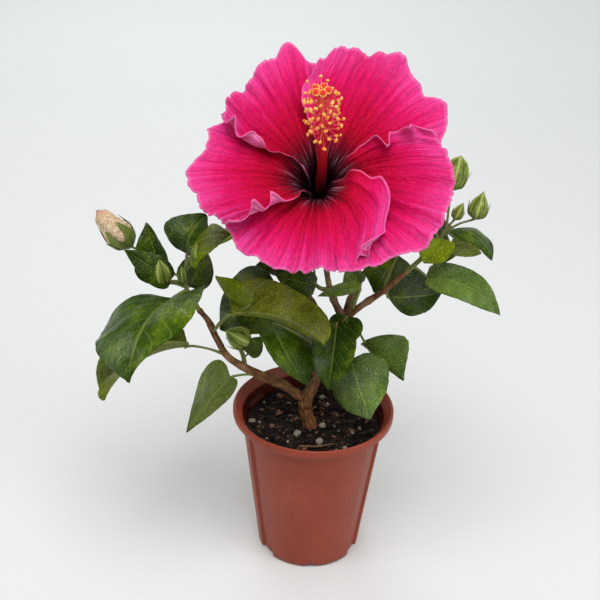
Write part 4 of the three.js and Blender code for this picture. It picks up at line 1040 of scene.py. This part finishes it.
# Each petal: its middle angle, how far it is tucked under the one before, its reach from the tucked edge to
# the top edge, the top edge's angle and lift from foot to margin, and where that edge flips over: (place,
# width, degrees)
petals = {
    "petal_1": {
        "angle": 56, "sag": 0, "phase": 0.3, "tuck": 8, "edgeFrill": 1.0,
        "reach": [66, 72, 82, 87, 81, 85, 90, 90, 85, 84, 81, 75, 68],
        "edge": [34, 38, 44, 44, 51, 38], "lift": [0, 0, 1, 2, 3, 2], "flips": [],
    },
    "petal_2": {
        "angle": 128, "sag": 0, "phase": 1.1, "tuck": 6, "edgeFrill": 1.5,
        "reach": [72, 72, 73, 91, 81, 77, 73, 70, 71, 69, 67, 66, 65],
        "edge": [34, 28, 14, 27, 47, 27], "lift": [0, 0, 1, 3, 4, 2],
        "flips": [(0.8, 0.06, 165), (0.93, 0.02, 60)],
    },
    "petal_3": {
        "angle": 196, "sag": 0, "phase": 0.6, "tuck": 16, "edgeFrill": 1.6,
        "reach": [50, 56, 71, 68, 75, 79, 77, 75, 73, 71, 70, 69, 67],
        "edge": [34, 36, 28, 40, 33, 25], "lift": [0, 0, 1, 4, 4, 2],
        "flips": [(0.76, 0.03, 110), (0.88, 0.025, 80)],
    },
    "petal_4": {
        "angle": 268, "sag": 8, "phase": 0.2, "tuck": 22, "edgeFrill": 2.4,
        "reach": [62, 66, 69, 68, 68, 66, 66, 66, 66, 66, 64, 65, 66],
        "edge": [34, 41, 64, 82, 70, 33], "lift": [0, 1, 6, 11, 10, 6], "flips": [(0.99, 0.035, 120)],
    },
    "petal_5": {
        "angle": 342, "sag": 0, "phase": 0.8, "tuck": 18, "edgeFrill": 1.4,
        "reach": [68, 70, 72, 76, 79, 79, 79, 79, 78, 76, 73, 71, 68],
        "edge": [34, 40, 46, 50, 46, 37], "lift": [0, 1, 3, 5, 5, 3],
        "flips": [(0.78, 0.03, 150), (0.9, 0.02, 70)],
    },
}


def bloomFrame():
    back, axis = pointing(90, 90 - bloom["elevation"]), pointing(270, bloom["elevation"])
    turned = Matrix((Vector((1, 0, 0)), back, axis)).transposed().to_4x4()
    return Matrix.Translation(Vector(bloom["centre"])) @ turned


def profilePoint(s):
    a, b, c, d = (Vector(point) for point in bloom["profile"])
    return a * (1 - s) ** 3 + b * 3 * (1 - s) ** 2 * s + c * 3 * (1 - s) * s ** 2 + d * s ** 3


def petalPoint(petal, s, t, number):
    radius, height = profilePoint(s)
    radius *= mix(1, smoothAlong(petal["reach"], (t + 1) / 2) / bloom["reach"], s)
    slope = (profilePoint(s + 0.01) - profilePoint(s - 0.01)).normalized()
    spread = smooth(s, 0, bloom["spreadAt"])
    half = mix(bloom["footAngle"], bloom["halfAngle"], spread)
    top = max(0, t)
    lean = math.copysign(smooth(abs(t), 0.35, 0.7), t)
    swing = math.sin(math.pi * (bloom["waves"] * t + petal["phase"]))
    wave = bloom["ruffle"] * s ** 4 * (swing + lean) / (1 + abs(lean))
    out = bloom["tilt"] * t * (spread + s ** 3) + wave + smoothAlong(petal["lift"], s) * top ** 2.5
    # finer than the solid: frills and scallops at the margin, pleats from the eye and a crinkle all over
    ragged = noise.noise(Vector((t * 4.2, number * 9.1, 0.3)))
    out += bloom["frill"] * s ** 7 * math.sin(bloom["frills"] * math.pi * t + 3 * ragged + number)
    out += bloom["pleat"] * smooth(s, 0.35, 0.7) * math.sin(bloom["pleats"] * t * 1.6 + 2 * ragged)
    out += bloom["crumple"] * s * noise.noise(Vector((t * 7, s * 5, number * 3.7)))
    out += bloom["crumple"] * 0.4 * s * noise.noise(Vector((t * 19, s * 11, number * 6.1)))
    out += petal["edgeFrill"] * top ** 5 * smooth(s, 0.3, 0.6) * math.sin(31 * s + 2 * number)
    scallop = bloom["scallop"] * smooth(s, 0.8, 1)
    coarse = noise.noise(Vector((t * 11, number * 5.3, 2)))
    fine = noise.noise(Vector((t * 34, number * 2.7, 5)))
    radius += scallop * (coarse * 1.6 + fine * 0.9 + 0.3 * math.sin(23 * t + number))
    angle = t * half - petal["tuck"] * spread * min(0, t) ** 2
    angle += (smoothAlong(petal["edge"], s) - half) * top ** 2
    jagged = math.sin(27 * s + 3 * number) + 0.5 * math.sin(64 * s + number)
    angle += petal["edgeFrill"] * top ** 5 * smooth(s, 0.25, 0.45) * jagged
    # the last strip of the top edge turns over where the petal flips
    turned = sum(degrees * math.exp(-(((s - at) / width) ** 2)) for at, width, degrees in petal["flips"])
    past = max(0, t - bloom["flipFrom"]) / (1 - bloom["flipFrom"])
    if past > 0 and turned > 1:
        curl = math.radians(turned)
        strip = math.radians(half) * (1 - bloom["flipFrom"]) * radius
        bend = strip * bloom["flipBend"] / curl
        arc, flat = min(past, bloom["flipBend"]) * strip, max(0, past - bloom["flipBend"]) * strip
        ahead = bend * math.sin(arc / bend) + flat * math.cos(curl)
        angle -= math.degrees((past * strip - ahead) / radius)
        out += bend * (1 - math.cos(arc / bend)) + flat * math.sin(curl)
    angle = math.radians(petal["angle"] + angle)
    return polar(radius - slope.y * out, angle, height + slope.x * out - petal["sag"] * s ** 3)


def petalFinish():
    # Hibiscus petal: thin and satin, crimson from a black-red eye to magenta, with dark veins that grow
    # finer towards a paler, crinkled margin
    finish, add, shader, coords = newFinish("petalSatinUpper", 0.6, 1.4, 0.08)
    uv = add("SeparateXYZ", [coords["UV"]]).outputs
    fan = add("Mapping", {"Vector": coords["UV"], "Scale": (34, 2.4, 1)})
    streaks = add("TexNoise", {"Vector": fan, "Scale": 1, "Detail": 5})
    wander = add("MapRange", [streaks, 0, 1, -0.14, 0.14])
    middle = add("Math", [uv["Y"], wander], operation="ADD")
    # the free side edge fades to pink as the outer margin does
    side = add("MapRange", [uv["X"], 0, 0.18, 0.15, 0])
    outward = add("MapRange", [uv["Y"], 0.44, 0.66])
    reach = add("Math", [side, outward, middle], operation="MULTIPLY_ADD")
    bodyStops = {0.3: "#140107", 0.43: "#35030f", 0.54: "#7c041f", 0.63: "#a90227"}
    bodyStops.update({0.77: "#bb053b", 0.88: "#cd125d", 1: "#da3c88"})
    body = add("ValToRGB", {"Fac": reach}, bodyStops)
    # pale hair-like streaks round the eye: a painted sheen
    sheenMap = add("Mapping", {"Vector": coords["UV"], "Scale": (90, 3.2, 1)})
    sheenNoise = add("TexNoise", {"Vector": sheenMap, "Scale": 1, "Detail": 2})
    sheenLine = add("MapRange", [sheenNoise, 0.58, 0.7])
    zoneStops = {0.32: "#000000", 0.42: "#c0c0c0", 0.52: "#909090", 0.64: "#000000"}
    zone = add("ValToRGB", {"Fac": uv["Y"]}, zoneStops)
    sheenStreaks = add("Math", [sheenLine, zone], operation="MULTIPLY")
    sheened = add("Mix", {0: sheenStreaks, 6: body, 7: "#d9a0b0"}, data_type="RGBA")
    # three orders of veins, each finer and starting further out: (how many, start, strength)
    bends = add("TexNoise", {"Vector": coords["UV"], "Scale": 5, "Detail": 3})
    shifted = add("Math", [bends, 0.09, uv["X"]], operation="MULTIPLY_ADD")
    veins = 0
    for count, start, strength in ((15, 0.4, 1), (31, 0.58, 0.8), (63, 0.74, 0.6)):
        line = stripes(add, shifted, count, 0.01, 0.11, strength)
        grown = add("MapRange", [uv["Y"], start, start + 0.14])
        drawn = add("Math", [line, grown], operation="MULTIPLY")
        veins = add("Math", [veins, drawn], operation="MAXIMUM")
    net = add("Mapping", {"Vector": coords["UV"], "Scale": (46, 26, 1)})
    cells = add("TexVoronoi", {"Vector": net, "Scale": 1}, feature="DISTANCE_TO_EDGE")
    darkness = add("MapRange", [veins, 0, 1, 1.04, 0.82])
    mottle = add("MapRange", [cells, 0, 0.3, 0.88, 1.07])
    shade = add("Math", [darkness, mottle], operation="MULTIPLY")
    veined = add("HueSaturation", {"Color": sheened, "Value": shade})
    # a thin pale line along the margin and the free side edge: a painted highlight where the edges catch the
    # light
    margin = add("MapRange", [uv["Y"], 0.985, 1, 0, 0.45])
    sideHighlight = add("MapRange", [uv["X"], 0, 0.012, 0.36, 0])
    rim = add("Math", [sideHighlight, outward], operation="MULTIPLY")
    edge = add("Math", [margin, rim], operation="MAXIMUM")
    edgeHighlighted = add("Mix", {0: edge, 6: veined, 7: "#f093c2"}, data_type="RGBA")
    crinkle = add("TexNoise", {"Vector": coords["Object"], "Scale": 420, "Detail": 3})
    height = add("Math", [crinkle, 0.8, shade], operation="MULTIPLY_ADD")
    bump = add("Bump", {"Height": height, "Strength": 0.7, "Distance": 0.0016})
    plug(shader, {"Base Color": edgeHighlighted, "Normal": bump})
    return finish


def petalBackFinish():
    # Underside of the petal: paler and mauve, with raised veins
    stops = {0.3: "#c0407c", 0.5: "#d4639a", 0.7: "#e394bc"}
    veins = {"Scale": 1.2, "Detail": 4}
    return grainFinish("petalSatinUnder", (0.6, 1.4, 0.25), veins, stops, (0.5, 0.001), stretch=(30, 3, 1))


def makePetals():
    frameTurn = bloomFrame()
    finishes = [petalFinish(), petalBackFinish()]
    for number, (name, petal) in enumerate(petals.items(), 1):
        bm = newSheet()

        def place(u, v):
            return frameTurn @ petalPoint(petal, v, 1 - 2 * u, number)
        bendGrid(bm, bloom["columns"], bloom["rows"], place)
        finishPiece(name + "_skin", bm, finishes, [name], "petal", rim=1, thickness=bloom["thickness"])


makePetals()

# Calyx of five fused sepals, with a ring of narrow bracts under it
calyxShape = {
    "profile": [(0.2, -30), (2.6, -29.2), (5.4, -26), (6.6, -21), (7.4, -16), (8.6, -11), (10.4, -8)],
    "lobeDepth": 6, "sides": 80, "rows": 30, "bracts": 7, "bractFoot": -29, "bractLength": 15, "wall": 0.7,
}


def makeCalyx():
    bm = newSheet()
    frameTurn = bloomFrame()
    radii, heights = zip(*calyxShape["profile"])

    def cup(u, v):
        angle = 2 * math.pi * u
        lobe = (0.5 - 0.5 * math.cos(5 * angle)) * v ** 3
        radius = smoothAlong(radii, v) + 0.25 * math.cos(10 * angle) * math.sin(math.pi * v) - 0.8 * lobe
        return frameTurn @ polar(radius, angle, smoothAlong(heights, v) - calyxShape["lobeDepth"] * lobe)

    bendGrid(bm, calyxShape["sides"], calyxShape["rows"], cup, 0, closed=True)
    for i in range(calyxShape["bracts"]):
        angle = 2 * math.pi * i / calyxShape["bracts"]

        def strip(u, v):
            half = max(0.08, 1.1 * math.sin(math.pi * min(1, 0.2 + 0.8 * v)))
            flare = 3.4 + 5.2 * v + 1.6 * math.sin(math.pi * v)
            height = calyxShape["bractFoot"] + calyxShape["bractLength"] * v * (1 - 0.35 * v)
            aside = polar(half * (2 * u - 1), angle + math.pi / 2)
            return frameTurn @ (polar(flare, angle, height) + aside)
        bendGrid(bm, 4, 12, strip, 1)
    finishPiece(
        "calyx_cup", bm, [budFinish(), bractFinish()], ["calyx"], "calyx", thickness=calyxShape["wall"]
    )


makeCalyx()

# Staminal column: a red shaft, some eighty anthers on fine filaments, and five stigma pads at its tip
column = {
    "path": [(0, 0, -24), (0.3, 0, -4), (0.8, 3, 16), (0.4, 10, 38), (-0.6, 16, 53), (-1.4, 20.5, 61)],
    "radii": [3.1, 3.1, 2.9, 2.4, 2.0, 1.3], "anthers": 78, "anthersFrom": 0.58, "filament": (6.5, 10.5),
    "filamentRadius": 0.26, "antherSize": (0.95, 1.35), "styleLength": 5.4, "styleRadius": 0.5, "pad": 2.35,
}


def shaftFinish():
    # Fused filaments: smooth flesh, dark crimson in the throat and orange-red towards the tip
    finish, add, shader, coords = newFinish("fusedFilaments", 0.42, 1.4, 0.4)
    lengthwise = add("SeparateXYZ", [coords["UV"]]).outputs["Y"]
    stops = {0.15: "#2a0208", 0.36: "#7a0616", 0.55: "#b80d1f", 0.8: "#d83a33", 1: "#e8694c"}
    plug(shader, {"Base Color": add("ValToRGB", {"Fac": lengthwise}, stops)})
    fineRelief(add, shader, coords, 900, 0.2, 0.0004)
    return finish


def filamentFinish():
    # Free filaments: slender pink-red threads
    return grainFinish("freeFilaments", (0.5, 1.4, 0.3), {"Scale": 300}, {0.35: "#d8324a", 0.65: "#ee7a72"})


def pollenFinish():
    # Ripe anthers: orange-yellow pollen, powdery and grainy
    stops = {0.3: "#dd8034", 0.5: "#f0a650", 0.7: "#f8c478"}
    return grainFinish("ripePollen", (0.8, 1.4, 0.25), {"Scale": 480, "Detail": 3}, stops, (0.5, 0.0005))


def stigmaFinish():
    # Stigma pads: velvet of red papillae, with the sheen of a short pile
    stops = {0.35: "#c21408", 0.65: "#e8341c"}
    return grainFinish("velvetStigma", (0.75, 1.4, 0.3, 0.3), {"Scale": 1300, "Detail": 2}, stops)


def makeColumn():
    bm = newSheet()
    random = seededRun(7)
    path = column["path"]
    addRod(bm, path, column["radii"], 20, 60, 0)
    for i in range(column["anthers"]):
        share = (i + next(random)) / column["anthers"]
        t = mix(column["anthersFrom"], 0.985, share)
        root = curvePoint(path, t)
        angle = math.radians(foliage["golden"] * i)
        out = polar(1, angle, mix(0, 0.55, share) + 0.35 * next(random)).normalized()
        length = mix(*column["filament"], next(random)) * mix(0.85, 1.05, share)
        end = root + out * (length + along(column["radii"], t))
        droop = Vector((0, 0, -0.9 + 1.2 * next(random)))
        addRod(bm, [root, (root + end) / 2 + droop, end], [column["filamentRadius"]] * 3, 4, 4, 1)
        size = mix(*column["antherSize"], next(random))
        place = Matrix.Translation(end + out * size * 0.4) @ out.to_track_quat("Z", "Y").to_matrix().to_4x4()
        shape = Matrix.Diagonal((size * 1.25, size * 0.8, size * 0.75, 1))
        addBall(bm, place @ Matrix.Rotation(6.28 * next(random), 4, "Z") @ shape, 2, 2)
    tip = curvePoint(path, 1)
    axis = (tip - curvePoint(path, 0.9)).normalized()
    side = axis.orthogonal().normalized()
    for i in range(5):
        spread = around(side, axis.cross(side), math.radians(72 * i + 20))
        out = (spread * 0.7 + axis * 0.5 + Vector((0, 0, 0.3))).normalized()
        end = tip + out * column["styleLength"]
        facing = (spread * 0.3 + Vector((0, -0.25, 1))).normalized()
        addRod(bm, [tip - axis, tip + axis * 2 + spread, end], [column["styleRadius"]] * 3, 8, 10, 0)
        turn = Matrix.Translation(end + facing * 0.4) @ facing.to_track_quat("Z", "Y").to_matrix().to_4x4()
        for size, height, slot in ((1, 0.55, 2), (0.84, 0.74, 3)):  # an orange rim round a red cushion
            shape = Matrix.Diagonal([column["pad"] * share for share in (size, size, height)] + [1])
            addBall(bm, turn @ shape, slot, 3)
    bm.transform(bloomFrame())
    finishes = [shaftFinish(), filamentFinish(), pollenFinish(), stigmaFinish()]
    finishPiece("staminal_column", bm, finishes, ["column"], "column", outward=True)


makeColumn()
